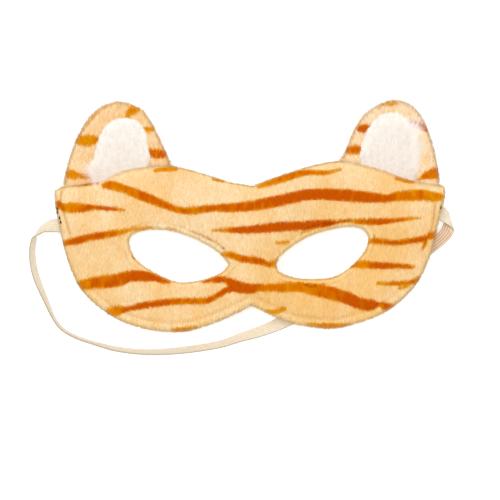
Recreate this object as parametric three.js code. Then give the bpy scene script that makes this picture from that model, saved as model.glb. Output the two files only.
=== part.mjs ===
// A child's plush half mask with tiger stripes, lying face up: a padded panel with two eye holes,
// two rounded ears with long white fur in front, and a flat elastic band that runs round behind.
// Millimetres. +X is to the right as the mask is looked at, +Y is towards the ears and +Z is out
// of the face. The mask rests on the backs of its ears and on the rims of its cheeks, at z = 0.
import * as THREE from 'three';
import { TessellateModifier } from 'three/addons/modifiers/TessellateModifier.js';
import { mergeVertices } from 'three/addons/utils/BufferGeometryUtils.js';

// Driving sizes of the panel
const PANEL_CORE = 0.9;
const PANEL_ROLL = 2.2;
const PANEL_CROWN = 1.3;
const CROWN_REACH = 8;
const PANEL_EDGE = 12;

// How the panel lies: the brow is held up by the ears and the nose stands in an arch
const BROW_LIFT = 6.4;
const LIFT_FROM_Y = -54;
const LIFT_TO_Y = 12;
const NOSE_ARCH = 9;
const NOSE_WIDTH = 30;
const CHEEK_SETTLE = 0.35;

// Ears and the fur in front of them
const EAR_CORE = 1;
const EAR_ROLL = 2;
const EAR_EDGE = 9;
const FUR_GAP = 0.3;
const FUR_CORE = 1.2;
const FUR_ROLL = 1.3;
const FUR_CROWN = 1.6;
const FUR_EDGE = 7;

// The elastic band
const BAND_WIDTH = 6.3;
const BAND_THICKNESS = 0.9;
const BAND_STEPS = 78;
const BAND_CORNER = 0.2;

// The fold at the band's right end: a line in plan, the radius of the roll, and how steeply the
// folded end rises from there to the back of the panel
const FOLD_X = 97.6;
const FOLD_Y = -4.5;
const FOLD_DEGREES = 107;
const FOLD_RADIUS = 1.5;
const FOLD_RISE = 0.12;

// Every outline is drawn about this point, so that the mask and ears are centred on the origin
const CENTRE_X = 0.1;
const CENTRE_Y = 0.1;
const CURVE_STEP = 4.5;

// The edge of the panel, clockwise from the upper corner on the left: brow, right side, left side
const BROW = [
  [-95.6, 12.6], [-91.6, 13.9], [-81.3, 15.0], [-72.0, 16.7], [-67.1, 19.9], [-58.8, 22.4],
  [-49.0, 23.9], [-39.2, 24.4], [-30.4, 22.5], [-20.6, 19.7], [-9.8, 16.2], [1.2, 14.3],
];
const BROW_RIGHT = [
  [9.8, 17.7], [19.6, 21.1], [29.4, 24.1], [39.2, 26.2], [46.5, 26.6], [54.9, 24.7],
  [63.7, 22.3], [70.6, 19.6], [78.4, 17.0], [86.7, 15.4], [95.0, 14.7],
];
const SIDE_RIGHT = [
  [95.6, 10.8], [93.8, 4.2], [91.6, -4.9], [90.3, -11.8], [87.4, -21.2], [82.8, -31.2],
  [74.3, -41.0], [63.6, -48.3], [51.2, -52.7], [40.7, -55.0], [29.9, -54.0], [20.1, -52.2],
  [9.8, -47.9], [1.0, -43.4],
];
const SIDE_LEFT = [
  [-9.8, -48.8], [-20.6, -53.2], [-32.3, -56.4], [-44.2, -56.2], [-54.9, -54.1], [-65.4, -50.2],
  [-75.0, -43.7], [-82.7, -35.8], [-87.6, -26.1], [-91.0, -15.2], [-93.2, -4.9], [-94.9, 3.9],
  [-95.6, 12.6],
];
const EYE_LEFT = [
  [-59.9, -12.2], [-57.4, -8.4], [-51.3, -6.5], [-43.1, -6.2], [-34.4, -8.0], [-24.5, -11.9],
  [-16.2, -16.8], [-11.3, -21.6], [-10.1, -24.5], [-12.7, -27.2], [-18.6, -30.1], [-26.5, -32.2],
  [-35.3, -32.8], [-42.4, -30.2], [-49.8, -26.2], [-56.5, -21.0],
];
const EYE_RIGHT = [
  [12.3, -23.5], [14.6, -19.5], [20.1, -14.8], [27.2, -10.3], [36.0, -7.1], [45.1, -5.1],
  [51.9, -5.0], [56.4, -6.4], [58.3, -10.3], [57.6, -15.2], [53.7, -21.0], [47.8, -26.4],
  [41.5, -30.1], [33.3, -31.2], [24.5, -30.9], [17.1, -29.2], [12.7, -26.5],
];

// Each ear is its seen edge, and then the seam allowance that is sewn behind the brow
const EAR_LEFT = [
  [-91.4, 13.7], [-90.2, 21.6], [-87.8, 29.9], [-84.6, 38.3], [-80.2, 46.3], [-74.9, 52.0],
  [-69.1, 54.8], [-63.7, 55.8], [-58.3, 54.2], [-53.3, 52.3], [-49.0, 46.3], [-44.8, 38.2],
  [-41.2, 30.4], [-38.9, 24.7],
];
const EAR_LEFT_SEAM = [[-38.6, 14], [-62, 9.5], [-90, 6.5]];
const EAR_RIGHT = [
  [44.8, 27.2], [47.5, 32.6], [50.5, 40.2], [54.4, 47.0], [58.8, 51.7], [64.2, 54.7],
  [70.1, 56.4], [76.4, 55.6], [82.3, 51.3], [86.0, 44.6], [88.9, 36.8], [91.0, 28.7],
  [92.3, 20.6], [92.9, 16],
];
const EAR_RIGHT_SEAM = [[91, 7.5], [70, 9], [44, 15]];

// The fur fills the front of each ear down to the brow
const FUR_LEFT = [
  [-77.4, 16.9], [-77.6, 21.5], [-75.0, 32.3], [-73.0, 39.2], [-69.6, 44.6], [-64.2, 47.0],
  [-58.4, 47.0], [-53.9, 44.4], [-51.4, 38.2], [-50.3, 30.9], [-49.8, 25.4], [-58.5, 23.6],
  [-66.3, 21.3], [-71.8, 18.1],
];
const FUR_RIGHT = [
  [54.3, 25.9], [54.7, 31.2], [57.0, 39.4], [61.2, 46.3], [66.6, 49.8], [72.5, 49.8],
  [76.4, 45.6], [79.6, 39.8], [80.8, 33.6], [80.9, 27.0], [82.0, 21.6], [79.8, 18.2],
  [73.2, 20.1], [64.0, 23.5],
];

// The band's middle line as [x, y, lift, tilt]: its lower edge is lift above the floor, and tilt in
// degrees turns it about its own line, from flat at 0, on edge at 90, to flat and over at 180. The
// last stretch is drawn straight on past the fold line, and then folded back.
const BAND_ROUTE = [
  [-84.5, -5.2, 3.3, 0], [-92.0, -4.8, 2.9, 0], [-96.2, -4.7, 1.9, 8], [-99.3, -5.4, 1.1, 35],
  [-101.6, -6.2, 0.6, 55], [-103.3, -7.6, 0.3, 67], [-104.8, -9.0, 0.1, 80],
  [-105.9, -10.9, 0, 106], [-106.4, -12.9, 0, 111], [-106.9, -16.7, 0, 114],
  [-106.8, -20.9, 0, 116], [-106.2, -25.0, 0, 117], [-105.2, -29.1, 0, 117],
  [-103.7, -33.3, 0, 116], [-100.3, -41.3, 0, 109], [-98.5, -45.5, 0, 104],
  [-96.6, -49.6, 0, 100], [-93.8, -53.8, 0, 100], [-90.0, -57.0, 0, 100],
  [-84.4, -59.8, 0, 100], [-77.5, -62.1, 0, 101], [-65.3, -65.3, 0, 109],
  [-50.5, -66.8, 0, 112], [-34.3, -66.0, 0, 119], [-14.6, -62.9, 0, 123],
  [-4.9, -59.7, 0, 131], [2.5, -57.5, 0, 142], [9.8, -54.9, 0, 152], [17.2, -51.7, 0, 166],
  [28.0, -46.6, 0, 178], [62.0, -30.2, 0, 180], [84.0, -18.5, 0, 182], [90.5, -13.9, 0, 190],
  [94.0, -11.1, 0, 197], [96.6, -8.1, 0, 194], [98.3, -4.5, 0, 180], [99.1, -2.7, 0, 180],
  [99.9, -0.85, 0, 180], [101.5, 2.8, 0, 180], [104.2, 9.0, 0, 180],
];

const FINISHES = {
  plush: { color: 0xf8d094, roughness: 0.95, metalness: 0 },
  fur: { color: 0xfaf4e8, roughness: 0.9, metalness: 0 },
  elastic: { color: 0xf0dcc4, roughness: 0.8, metalness: 0 },
};

const mask = new THREE.Group();

function toPoints(pairs) {
  return pairs.map(([x, y]) => new THREE.Vector2(x - CENTRE_X, y - CENTRE_Y));
}

// Points about CURVE_STEP apart along one or more smooth stretches that meet at corners
function sampleStretches(stretches) {
  const sampled = [];
  let start = null;
  for (const stretch of stretches) {
    const knots = start ? [start, ...stretch] : stretch;
    const curve = new THREE.SplineCurve(knots);
    const spaced = curve.getSpacedPoints(Math.ceil(curve.getLength() / CURVE_STEP));
    sampled.push(...spaced.slice(0, -1));
    start = knots[knots.length - 1];
  }
  return sampled;
}

function sampleLoop(points) {
  const knots = points.map((point) => new THREE.Vector3(point.x, point.y, 0));
  const curve = new THREE.CatmullRomCurve3(knots, true, 'catmullrom', 0.5);
  const count = Math.ceil(curve.getLength() / CURVE_STEP);
  return curve.getSpacedPoints(count).slice(0, -1).map((point) => new THREE.Vector2(point.x, point.y));
}

function maskOutline() {
  return sampleStretches([BROW, BROW_RIGHT, SIDE_RIGHT, SIDE_LEFT].map(toPoints));
}

function earOutline(edge, seam) {
  return sampleStretches([toPoints(edge), toPoints([...seam, edge[0]])]);
}

// A padded slab with a rolled rim whose widest section is the outline itself. A hole's points have
// to run the other way round from the outline's, so they are reversed.
function paddedSlab(outline, holes, core, roll, maxEdge) {
  const shape = new THREE.Shape(outline);
  for (const hole of holes) {
    shape.holes.push(new THREE.Path([...hole].reverse()));
  }
  const slab = new THREE.ExtrudeGeometry(shape, {
    depth: core,
    bevelEnabled: true,
    bevelThickness: roll,
    bevelSize: roll,
    bevelOffset: -roll,
    bevelSegments: 3,
  });
  slab.translate(0, 0, roll);
  slab.deleteAttribute('normal');
  slab.deleteAttribute('uv');
  const fine = new TessellateModifier(maxEdge, 10).modify(slab);
  return mergeVertices(fine, 0.001);
}

function distanceToLoops(x, y, loops) {
  const point = new THREE.Vector3(x, y, 0);
  const nearest = new THREE.Vector3();
  const segment = new THREE.Line3();
  let least = Infinity;
  for (const loop of loops) {
    for (let i = 0; i < loop.length; i += 1) {
      const next = loop[(i + 1) % loop.length];
      segment.start.set(loop[i].x, loop[i].y, 0);
      segment.end.set(next.x, next.y, 0);
      segment.closestPointToPoint(point, true, nearest);
      least = Math.min(least, nearest.distanceTo(point));
    }
  }
  return least;
}

// Height of the panel's underside above the floor
function underside(x, y) {
  const lift = BROW_LIFT * THREE.MathUtils.smoothstep(y, LIFT_FROM_Y, LIFT_TO_Y);
  const arch = NOSE_ARCH * Math.exp(-((x / NOSE_WIDTH) ** 2));
  return Math.max(lift + arch - CHEEK_SETTLE, 0);
}

// Moves every vertex up by base(x, y), and the upper half by a crown that grows in from the rim
function raise(geometry, base, crown, loops, middle) {
  const position = geometry.attributes.position;
  for (let i = 0; i < position.count; i += 1) {
    const x = position.getX(i);
    const y = position.getY(i);
    const z = position.getZ(i);
    const swell = z > middle ? crown * (1 - Math.exp(-distanceToLoops(x, y, loops) / CROWN_REACH)) : 0;
    position.setZ(i, z + base(x, y) + swell);
  }
  geometry.computeVertexNormals();
  return geometry;
}

function addPiece(name, geometry, finish) {
  const piece = new THREE.Mesh(geometry, new THREE.MeshStandardMaterial(FINISHES[finish]));
  piece.name = name;
  mask.add(piece);
}

function addPanel() {
  const outline = maskOutline();
  const eyes = [EYE_LEFT, EYE_RIGHT].map((eye) => sampleLoop(toPoints(eye)));
  const slab = paddedSlab(outline, eyes, PANEL_CORE, PANEL_ROLL, PANEL_EDGE);
  const middle = PANEL_ROLL + PANEL_CORE / 2;
  addPiece('mask_face', raise(slab, underside, PANEL_CROWN, [outline, ...eyes], middle), 'plush');
}

function addEar(name, edge, seam) {
  const slab = paddedSlab(earOutline(edge, seam), [], EAR_CORE, EAR_ROLL, EAR_EDGE);
  slab.computeVertexNormals();
  addPiece(name, slab, 'plush');
}

function addEarFur(name, points) {
  const outline = sampleLoop(toPoints(points));
  const slab = paddedSlab(outline, [], FUR_CORE, FUR_ROLL, FUR_EDGE);
  const earFront = () => EAR_CORE + 2 * EAR_ROLL + FUR_GAP;
  const middle = FUR_ROLL + FUR_CORE / 2;
  addPiece(name, raise(slab, earFront, FUR_CROWN, [outline], middle), 'fur');
}

// The band's cross-section: a flat strip with its eight corners cut
function bandSection() {
  const halfWidth = BAND_WIDTH / 2;
  const halfThick = BAND_THICKNESS / 2;
  const section = new THREE.Shape();
  section.moveTo(-halfWidth, -halfThick + BAND_CORNER);
  section.lineTo(-halfWidth + BAND_CORNER, -halfThick);
  section.lineTo(halfWidth - BAND_CORNER, -halfThick);
  section.lineTo(halfWidth, -halfThick + BAND_CORNER);
  section.lineTo(halfWidth, halfThick - BAND_CORNER);
  section.lineTo(halfWidth - BAND_CORNER, halfThick);
  section.lineTo(-halfWidth + BAND_CORNER, halfThick);
  section.lineTo(-halfWidth, halfThick - BAND_CORNER);
  section.closePath();
  return section;
}

// One place on the band: its middle and the directions of its width and thickness
function bandFrame(path, tilts, share) {
  const middle = path.getPoint(share);
  const heading = path.getTangent(share);
  const tilt = THREE.MathUtils.degToRad(tilts.getPoint(share).x);
  const width = new THREE.Vector3(-heading.y, heading.x, 0).normalize();
  width.applyAxisAngle(heading, tilt);
  const thickness = new THREE.Vector3().crossVectors(heading, width).normalize();
  return { middle, width, thickness };
}

// Rolls a point that lies past the fold line up and back over the rest of the band
function foldOver(point) {
  const fold = new THREE.Vector2(FOLD_X - CENTRE_X, FOLD_Y - CENTRE_Y);
  const angle = THREE.MathUtils.degToRad(FOLD_DEGREES);
  const axis = new THREE.Vector2(Math.cos(angle), Math.sin(angle));
  const outward = new THREE.Vector2(axis.y, -axis.x);
  const place = new THREE.Vector2(point.x, point.y).sub(fold);
  const past = place.dot(outward);
  if (past <= 0) {
    return;
  }
  const along = place.dot(axis);
  const turn = Math.min(past / FOLD_RADIUS, Math.PI);
  const back = Math.max(past - Math.PI * FOLD_RADIUS, 0);
  const arm = FOLD_RADIUS + BAND_THICKNESS / 2 - point.z;
  const reach = arm * Math.sin(turn) - back;
  const plan = fold.addScaledVector(outward, reach).addScaledVector(axis, along);
  const height = FOLD_RADIUS + BAND_THICKNESS / 2 - arm * Math.cos(turn) + back * FOLD_RISE;
  point.set(plan.x, plan.y, height);
}

function addBand() {
  const knots = BAND_ROUTE.map(([x, y, lift, tilt]) => {
    const angle = THREE.MathUtils.degToRad(tilt);
    const reach = BAND_WIDTH * Math.abs(Math.sin(angle)) + BAND_THICKNESS * Math.abs(Math.cos(angle));
    return new THREE.Vector3(x - CENTRE_X, y - CENTRE_Y, lift + reach / 2);
  });
  const path = new THREE.CatmullRomCurve3(knots, false, 'centripetal');
  const turns = BAND_ROUTE.map(([, , , tilt]) => new THREE.Vector3(tilt, 0, 0));
  const tilts = new THREE.CatmullRomCurve3(turns, false, 'catmullrom', 0.5);
  const strip = new THREE.ExtrudeGeometry(bandSection(), {
    depth: 1,
    steps: BAND_STEPS,
    bevelEnabled: false,
  });
  const position = strip.attributes.position;
  for (let i = 0; i < position.count; i += 1) {
    const place = bandFrame(path, tilts, THREE.MathUtils.clamp(position.getZ(i), 0, 1));
    const point = place.middle;
    point.addScaledVector(place.width, position.getX(i));
    point.addScaledVector(place.thickness, position.getY(i));
    foldOver(point);
    position.setXYZ(i, point.x, point.y, Math.max(point.z, 0));
  }
  strip.computeVertexNormals();
  addPiece('elastic_band', strip, 'elastic');
}

addPanel();
addEar('ear_left', EAR_LEFT, EAR_LEFT_SEAM);
addEar('ear_right', EAR_RIGHT, EAR_RIGHT_SEAM);
addEarFur('ear_fur_left', FUR_LEFT);
addEarFur('ear_fur_right', FUR_RIGHT);
addBand();

export default mask;
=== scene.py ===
"""A child's plush half mask with tiger stripes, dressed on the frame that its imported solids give.

Every length in the data below is in millimetres, in the row frame: +X to the right as the mask is
looked at, +Y towards the ears, +Z up out of the face. MM turns it into Blender's metres.
"""

from __future__ import annotations

import logging
import math
from dataclasses import dataclass, field
from enum import Enum

import bpy
import numpy as np
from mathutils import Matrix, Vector
from mathutils.kdtree import KDTree


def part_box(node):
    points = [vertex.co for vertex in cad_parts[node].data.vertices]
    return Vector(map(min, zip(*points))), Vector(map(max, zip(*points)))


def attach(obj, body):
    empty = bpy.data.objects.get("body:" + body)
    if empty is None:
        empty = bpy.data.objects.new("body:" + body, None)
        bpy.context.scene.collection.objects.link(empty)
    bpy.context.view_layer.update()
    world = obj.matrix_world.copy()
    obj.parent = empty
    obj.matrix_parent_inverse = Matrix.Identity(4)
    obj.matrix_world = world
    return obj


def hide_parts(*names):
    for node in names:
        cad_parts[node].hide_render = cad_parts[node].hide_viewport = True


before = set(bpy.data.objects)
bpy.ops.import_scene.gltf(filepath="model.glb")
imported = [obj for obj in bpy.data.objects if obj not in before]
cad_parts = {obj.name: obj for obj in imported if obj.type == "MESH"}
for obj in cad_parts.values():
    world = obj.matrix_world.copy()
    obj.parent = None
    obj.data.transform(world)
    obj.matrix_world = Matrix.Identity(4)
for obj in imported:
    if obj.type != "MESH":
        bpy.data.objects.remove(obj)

LOG = logging.getLogger("tiger_mask")
MM = 0.001
BODY = "root"

# Distances in metres: beyond any on the mask, the least to divide by, and how near points are joined
FAR = 1.0
TINY = 1e-9
WELD = 1e-5

# Where most and nearly all of the values of a noise texture lie
MOST_NOISE = (0.3, 0.7)
ALL_NOISE = (0.25, 0.75)

CLOTH_QUALITY = 5
CLOTH_MASS = 0.2
CLOTH_FRAMES = 20
LINE_STEPS = 4
SWELL_WAVES = 9

Colour = tuple[float, float, float, float]
Triple = tuple[float, float, float]
Range = tuple[float, float]
Line = tuple[tuple[float, float], ...]
Socket = bpy.types.NodeSocket


class Nap(Enum):
    """Which way a pile is brushed, as a direction in plan."""

    DOWN = (0.0, -1.0)
    UP = (0.0, 1.0)


@dataclass(frozen=True)
class Stripe:
    """One printed stripe: a smooth middle line with a half-width at each point.

    Attributes:
        name: where the stripe is.
        points: (x, y, half-width) in millimetres.
        tones: 0 for ochre, 1 for deep brown, spread evenly from its first point to its last.
    """

    name: str
    points: tuple[tuple[float, float, float], ...]
    tones: tuple[float, ...] = (0.75,)


MASK_STRIPES = (
    Stripe("brow_long", (
        (-71.1, 14.7, 1.5), (-67.7, 14.8, 2.2), (-61.4, 13.0, 2.0), (-54.0, 10.1, 2.3),
        (-48.1, 7.8, 2.2), (-40.8, 4.8, 1.7), (-33.9, 2.5, 1.5), (-27.1, 2.5, 1.9), (-19.7, 3.5, 1.7),
        (-8.9, 3.8, 2.1), (-0.1, 4.6, 2.4), (9.7, 6.3, 2.7), (19.5, 8.4, 2.7), (26.8, 10.0, 2.6),
        (34.2, 10.5, 2.6), (46.4, 10.0, 2.9), (54.8, 9.2, 2.7), (63.6, 8.6, 2.2), (67.5, 8.4, 1.9),
        (71.4, 9.3, 2.2), (77.3, 9.9, 2.6), (84.2, 10.0, 2.6), (89.1, 9.3, 2.3), (93.0, 9.1, 1.8),
    ), (0.4, 0.55, 0.5, 0.65, 0.9, 1.0, 0.8, 0.45, 0.1)),
    Stripe("temple_left", (
        (-94.2, 5.6, 1.6), (-91.2, 4.0, 1.8), (-88.3, 3.8, 2.4), (-83.4, 3.8, 2.2), (-78.5, 3.9, 1.5),
        (-76.0, 4.1, 1.1), (-71.1, 3.6, 1.0), (-66.2, 3.2, 0.8), (-61.3, 2.8, 0.3),
    ), (0.6, 0.2, 0.75, 0.9, 0.6)),
    Stripe("eye_corner_left", (
        (-91.2, -13.5, 1.3), (-88.3, -12.9, 1.5), (-83.4, -12.0, 1.8), (-78.5, -10.6, 1.6),
        (-72.6, -9.6, 1.7), (-67.2, -8.7, 1.6), (-63.8, -8.2, 1.4), (-59.9, -7.1, 0.8),
        (-54.0, -6.2, 0.6), (-48.1, -5.8, 0.4),
    ), (0.45, 0.8, 0.8, 0.45, 0.0, 0.0)),
    Stripe("cheek_left_broad", (
        (-83.9, -33.8, 1.7), (-80.9, -33.7, 2.6), (-77.5, -33.1, 2.7), (-71.1, -32.4, 3.2),
        (-64.8, -31.6, 3.1), (-59.9, -29.9, 2.8), (-55.5, -29.5, 2.6), (-50.6, -29.9, 2.3),
        (-46.2, -30.6, 1.5), (-43.2, -31.8, 1.3), (-39.8, -32.6, 0.7),
    ), (0.3, 0.45, 0.6, 0.9, 0.95, 0.9, 0.6)),
    Stripe("cheek_left_low", (
        (-68.7, -47.2, 2.0), (-65.8, -46.7, 2.3), (-63.3, -46.3, 1.9), (-59.9, -45.7, 1.2),
        (-54.0, -44.3, 1.5), (-49.1, -43.5, 1.6), (-41.8, -42.5, 1.6), (-31.9, -41.8, 1.5),
        (-24.6, -41.9, 1.5), (-19.7, -41.0, 1.4), (-15.8, -38.9, 1.3), (-11.9, -36.7, 1.5),
        (-8.4, -35.2, 1.8),
    ), (0.2, 0.3, 0.9, 0.8, 0.6, 0.7, 0.75, 0.9)),
    Stripe("nose_right", (
        (-23.1, -32.5, 0.5), (-19.7, -31.7, 0.9), (-16.3, -31.3, 1.5), (-11.9, -31.5, 1.5),
        (-8.9, -33.3, 2.3), (-6.0, -34.7, 2.9), (-2.6, -35.5, 2.6), (0.9, -35.7, 2.2),
        (3.8, -35.1, 1.9), (9.7, -35.4, 1.9), (17.0, -35.0, 2.3), (24.4, -35.0, 2.3),
        (30.3, -36.2, 2.7), (35.2, -37.0, 3.1), (40.1, -38.2, 3.2), (44.5, -39.4, 3.0),
        (48.9, -40.9, 2.8), (52.8, -42.7, 2.8), (56.7, -43.6, 2.8), (59.7, -43.8, 2.5),
        (61.6, -43.6, 1.5),
    ), (0.7, 0.9, 0.85, 0.9, 0.8, 0.4, 0.25, 0.35, 0.7, 0.95, 1.0, 0.85)),
    Stripe("cheek_right_end", (
        (64.1, -43.4, 0.8), (66.1, -44.3, 2.0), (68.5, -44.2, 1.3), (71.0, -43.9, 0.6),
    ), (0.5, 0.5)),
    Stripe("forehead", (
        (-18.7, -7.2, 0.2), (-13.8, -7.1, 0.8), (-7.4, -7.1, 1.4), (-0.1, -7.0, 1.8), (5.8, -6.4, 2.1),
        (14.6, -5.4, 2.3), (24.4, -5.0, 2.2), (31.7, -4.3, 2.0), (38.1, -3.6, 1.6), (43.0, -3.1, 0.9),
        (48.9, -2.5, 0.7), (52.8, -2.9, 1.3), (58.7, -3.0, 1.6), (63.6, -2.9, 1.5), (68.5, -2.6, 1.2),
        (73.4, -2.0, 0.9), (79.3, -1.4, 0.6), (83.2, -1.2, 0.2),
    ), (0.4, 0.8, 0.95, 1.0, 1.0, 0.9, 0.4, 0.15, 0.75, 0.8, 0.5, 0.2)),
    Stripe("between_eyes", (
        (-13.3, -18.9, 0.9), (-9.4, -19.3, 1.6), (-7.0, -20.0, 1.4), (-4.5, -21.1, 1.8),
        (-1.1, -21.4, 1.7), (2.8, -22.0, 1.7), (6.3, -22.8, 1.5), (9.2, -24.0, 1.2),
        (12.2, -23.3, 1.8),
    ), (0.05, 0.3, 0.7, 0.85, 0.6, 0.1)),
    Stripe("eye_right_dash", (
        (13.0, -13.2, 0.4), (16.0, -13.3, 0.7), (18.8, -12.9, 0.5),
    ), (0.0,)),
    Stripe("eye_right_rim", (
        (25.0, -8.8, 0.0), (28.5, -7.4, 0.1), (32.0, -6.3, 0.2), (35.4, -5.5, 0.1),
    ), (0.0,)),
    Stripe("temple_right", (
        (58.7, -12.5, 1.1), (61.6, -12.4, 1.4), (66.5, -12.9, 1.3), (71.4, -13.2, 1.2),
        (75.9, -12.8, 1.3), (79.8, -12.2, 1.3), (83.7, -11.6, 1.4), (86.6, -10.6, 1.3),
        (88.6, -10.0, 1.8), (91.0, -9.4, 2.0),
    ), (0.15, 0.7, 0.85, 0.8, 0.55, 0.5)),
    Stripe("temple_right_drip", (
        (85.7, -13.0, 0.9), (85.4, -14.5, 0.7), (84.9, -16.2, 0.3),
    ), (0.1,)),
    Stripe("cheek_right_short", (
        (49.9, -24.9, 0.7), (52.3, -24.1, 1.6), (55.3, -23.9, 1.9), (58.7, -24.2, 1.6),
        (63.6, -24.4, 1.6), (69.5, -24.5, 1.3), (74.4, -24.7, 1.1), (78.4, -25.0, 1.1), (80.3, -25.1, 0.4),
    ), (0.3, 0.1, 0.85, 0.9, 0.7, 0.4)),
    Stripe("cheek_right_low", (
        (62.3, -33.1, 0.5), (66.5, -33.3, 0.8), (70.5, -33.2, 1.0), (74.4, -33.1, 1.1),
        (77.8, -32.7, 1.1), (80.8, -31.9, 1.2), (83.2, -30.8, 1.1),
    ), (0.3, 0.6, 0.5, 0.3)),
    Stripe("cheek_right_twig", (
        (72.9, -35.8, 0.4), (74.9, -35.1, 0.6), (77.3, -34.1, 0.5),
    ), (0.2,)),
    Stripe("brow_right_edge", (
        (4.2, 14.1, 0.7), (7.4, 15.2, 1.2), (10.9, 16.3, 1.5), (14.7, 17.5, 1.6), (18.5, 18.8, 1.7),
        (22.4, 20.0, 1.6), (26.4, 20.9, 1.4), (30.3, 21.1, 1.2), (34.2, 20.9, 1.1), (38.1, 21.1, 0.9),
        (41.1, 21.8, 0.7), (44.0, 22.6, 0.5),
    ), (0.1, 0.15, 0.45, 0.5, 0.3, 0.1)),
    Stripe("brow_left_edge", (
        (-46.6, 22.0, 0.6), (-43.2, 22.6, 0.9), (-39.3, 22.8, 1.0), (-35.9, 22.6, 0.6),
    ), (0.1,)),
    Stripe("brow_left_hem", (
        (-87.8, 15.0, 0.2), (-83.0, 15.3, 0.5), (-78.5, 15.7, 0.4), (-74.5, 16.2, 0.2),
    ), (0.7,)),
    Stripe("brow_left_spot", (
        (-18.2, 17.7, 0.3), (-15.8, 17.2, 0.5), (-13.3, 16.7, 0.3),
    ), (0.1,)),
    Stripe("chin_left_edge", (
        (-38.0, -56.0, 0.6), (-34.0, -55.9, 1.1), (-30.0, -55.4, 1.0), (-26.8, -54.8, 0.6),
    ), (0.2,)),
    Stripe("chin_right_edge", (
        (29.0, -53.3, 0.5), (32.5, -53.7, 0.9), (35.5, -53.9, 1.2), (39.6, -54.0, 1.3),
        (44.0, -53.9, 1.0), (48.9, -53.4, 0.6),
    ), (0.2,)),
    Stripe("nose_low_dash", (
        (8.5, -46.7, 0.5), (11.0, -47.0, 0.9), (13.8, -46.7, 1.1), (16.6, -45.5, 0.8),
    ), (0.1,)),
    Stripe("brow_right_corner", (
        (71.4, 18.2, 0.5), (75.9, 17.0, 0.7), (79.8, 16.6, 0.5),
    ), (0.3,)),
)

EAR_LEFT_STRIPES = (
    Stripe("outer_rim", (
        (-84.2, 38.6, 0.0), (-81.6, 42.4, 0.05), (-79.8, 44.9, 0.1), (-77.2, 48.2, 0.3),
        (-74.0, 51.2, 0.1), (-69.6, 54.0, 0.05), (-65.0, 55.4, 0.0), (-62.0, 55.6, -0.1),
    ), (0.9, 0.5, 0.9)),
    Stripe("outer_band", (
        (-84.9, 37.2, 1.8), (-81.4, 36.8, 2.6), (-78.4, 36.9, 2.6), (-76.2, 37.5, 1.7),
    ), (0.2,)),
    Stripe("outer_foot", (
        (-90.7, 20.3, 1.6), (-88.3, 20.3, 2.1), (-85.4, 19.7, 1.6), (-82.4, 19.3, 1.1),
        (-79.5, 19.0, 0.9), (-76.5, 19.4, 0.6), (-74.0, 19.8, 0.3),
    ), (0.3,)),
    Stripe("tip_wedge", (
        (-55.5, 52.1, 1.2), (-57.9, 51.6, 2.0), (-59.6, 49.6, 1.3), (-60.6, 48.2, 0.5),
    ), (0.2,)),
    Stripe("inner_high", (
        (-54.0, 42.2, 0.6), (-52.0, 42.3, 1.0), (-49.6, 42.3, 1.1), (-47.4, 42.3, 1.0),
    ), (0.1,)),
    Stripe("inner_low", (
        (-50.8, 30.8, 1.5), (-47.8, 30.6, 2.2), (-44.9, 30.5, 2.3), (-42.0, 30.5, 1.9),
    ), (0.55,)),
)

EAR_RIGHT_STRIPES = (
    Stripe("inner_high", (
        (53.0, 42.1, 0.7), (54.9, 42.8, 1.9), (57.3, 42.7, 2.0), (59.4, 42.6, 1.5),
    ), (0.9,)),
    Stripe("inner_low", (
        (47.5, 31.9, 1.5), (50.6, 32.4, 2.0), (53.0, 32.2, 2.1), (55.4, 31.8, 1.9),
    ), (0.4,)),
    Stripe("tip", (
        (64.2, 54.3, 0.5), (68.5, 55.2, 0.9), (72.2, 55.1, 0.5),
    ), (0.0,)),
    Stripe("outer_high", (
        (76.3, 45.4, 1.2), (79.8, 44.8, 1.7), (82.7, 44.2, 1.6), (85.2, 43.2, 1.5), (87.4, 42.0, 0.9),
    ), (0.9,)),
    Stripe("outer_foot", (
        (82.9, 18.0, 0.5), (85.6, 19.4, 1.4), (88.3, 20.4, 2.2), (90.9, 20.9, 2.6), (93.0, 20.7, 2.3),
    ), (0.45,)),
)

# The seams where the plush is turned in at each end of the mask
SEAM_LEFT = ((-92.3, 11.9), (-92.9, 7.1), (-91.0, 0.5), (-89.5, -4.9), (-88.3, -8.9))
SEAM_RIGHT = (
    (90.6, 5.8), (90.1, 1.9), (89.6, -3.0), (88.6, -7.0), (87.1, -9.9), (85.2, -14.3), (84.2, -16.8),
)

# The stitches that hold the band, and the parts of the eye stitching that show dark in the pile
BAND_STITCHES = (
    ((-94.4, 4.2), (-94.4, 0.8)), ((-93.5, -0.4), (-93.1, -1.8)), ((-93.0, -2.6), (-92.6, -3.8)),
    ((93.4, 5.2), (93.2, 2.9)),
)
EYE_STITCHES = (
    ((-58.3, -19.6), (-57.0, -21.0), (-55.9, -22.5)),
    ((-40.2, -6.3), (-36.3, -6.9)),
    ((-29.4, -7.6), (-24.5, -9.4), (-17.2, -12.8), (-12.8, -16.2)),
    ((26.4, -7.2), (30.0, -5.6), (36.0, -4.2), (41.2, -3.6)),
    ((42.6, -2.9), (49.0, -2.2)),
    ((60.8, -9.8), (60.8, -12.3)),
    ((23.5, -32.8), (26.5, -33.5), (29.4, -34.6), (32.4, -34.9)),
    ((29.0, -33.0), (33.0, -33.6), (37.2, -33.5)),
)

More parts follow.
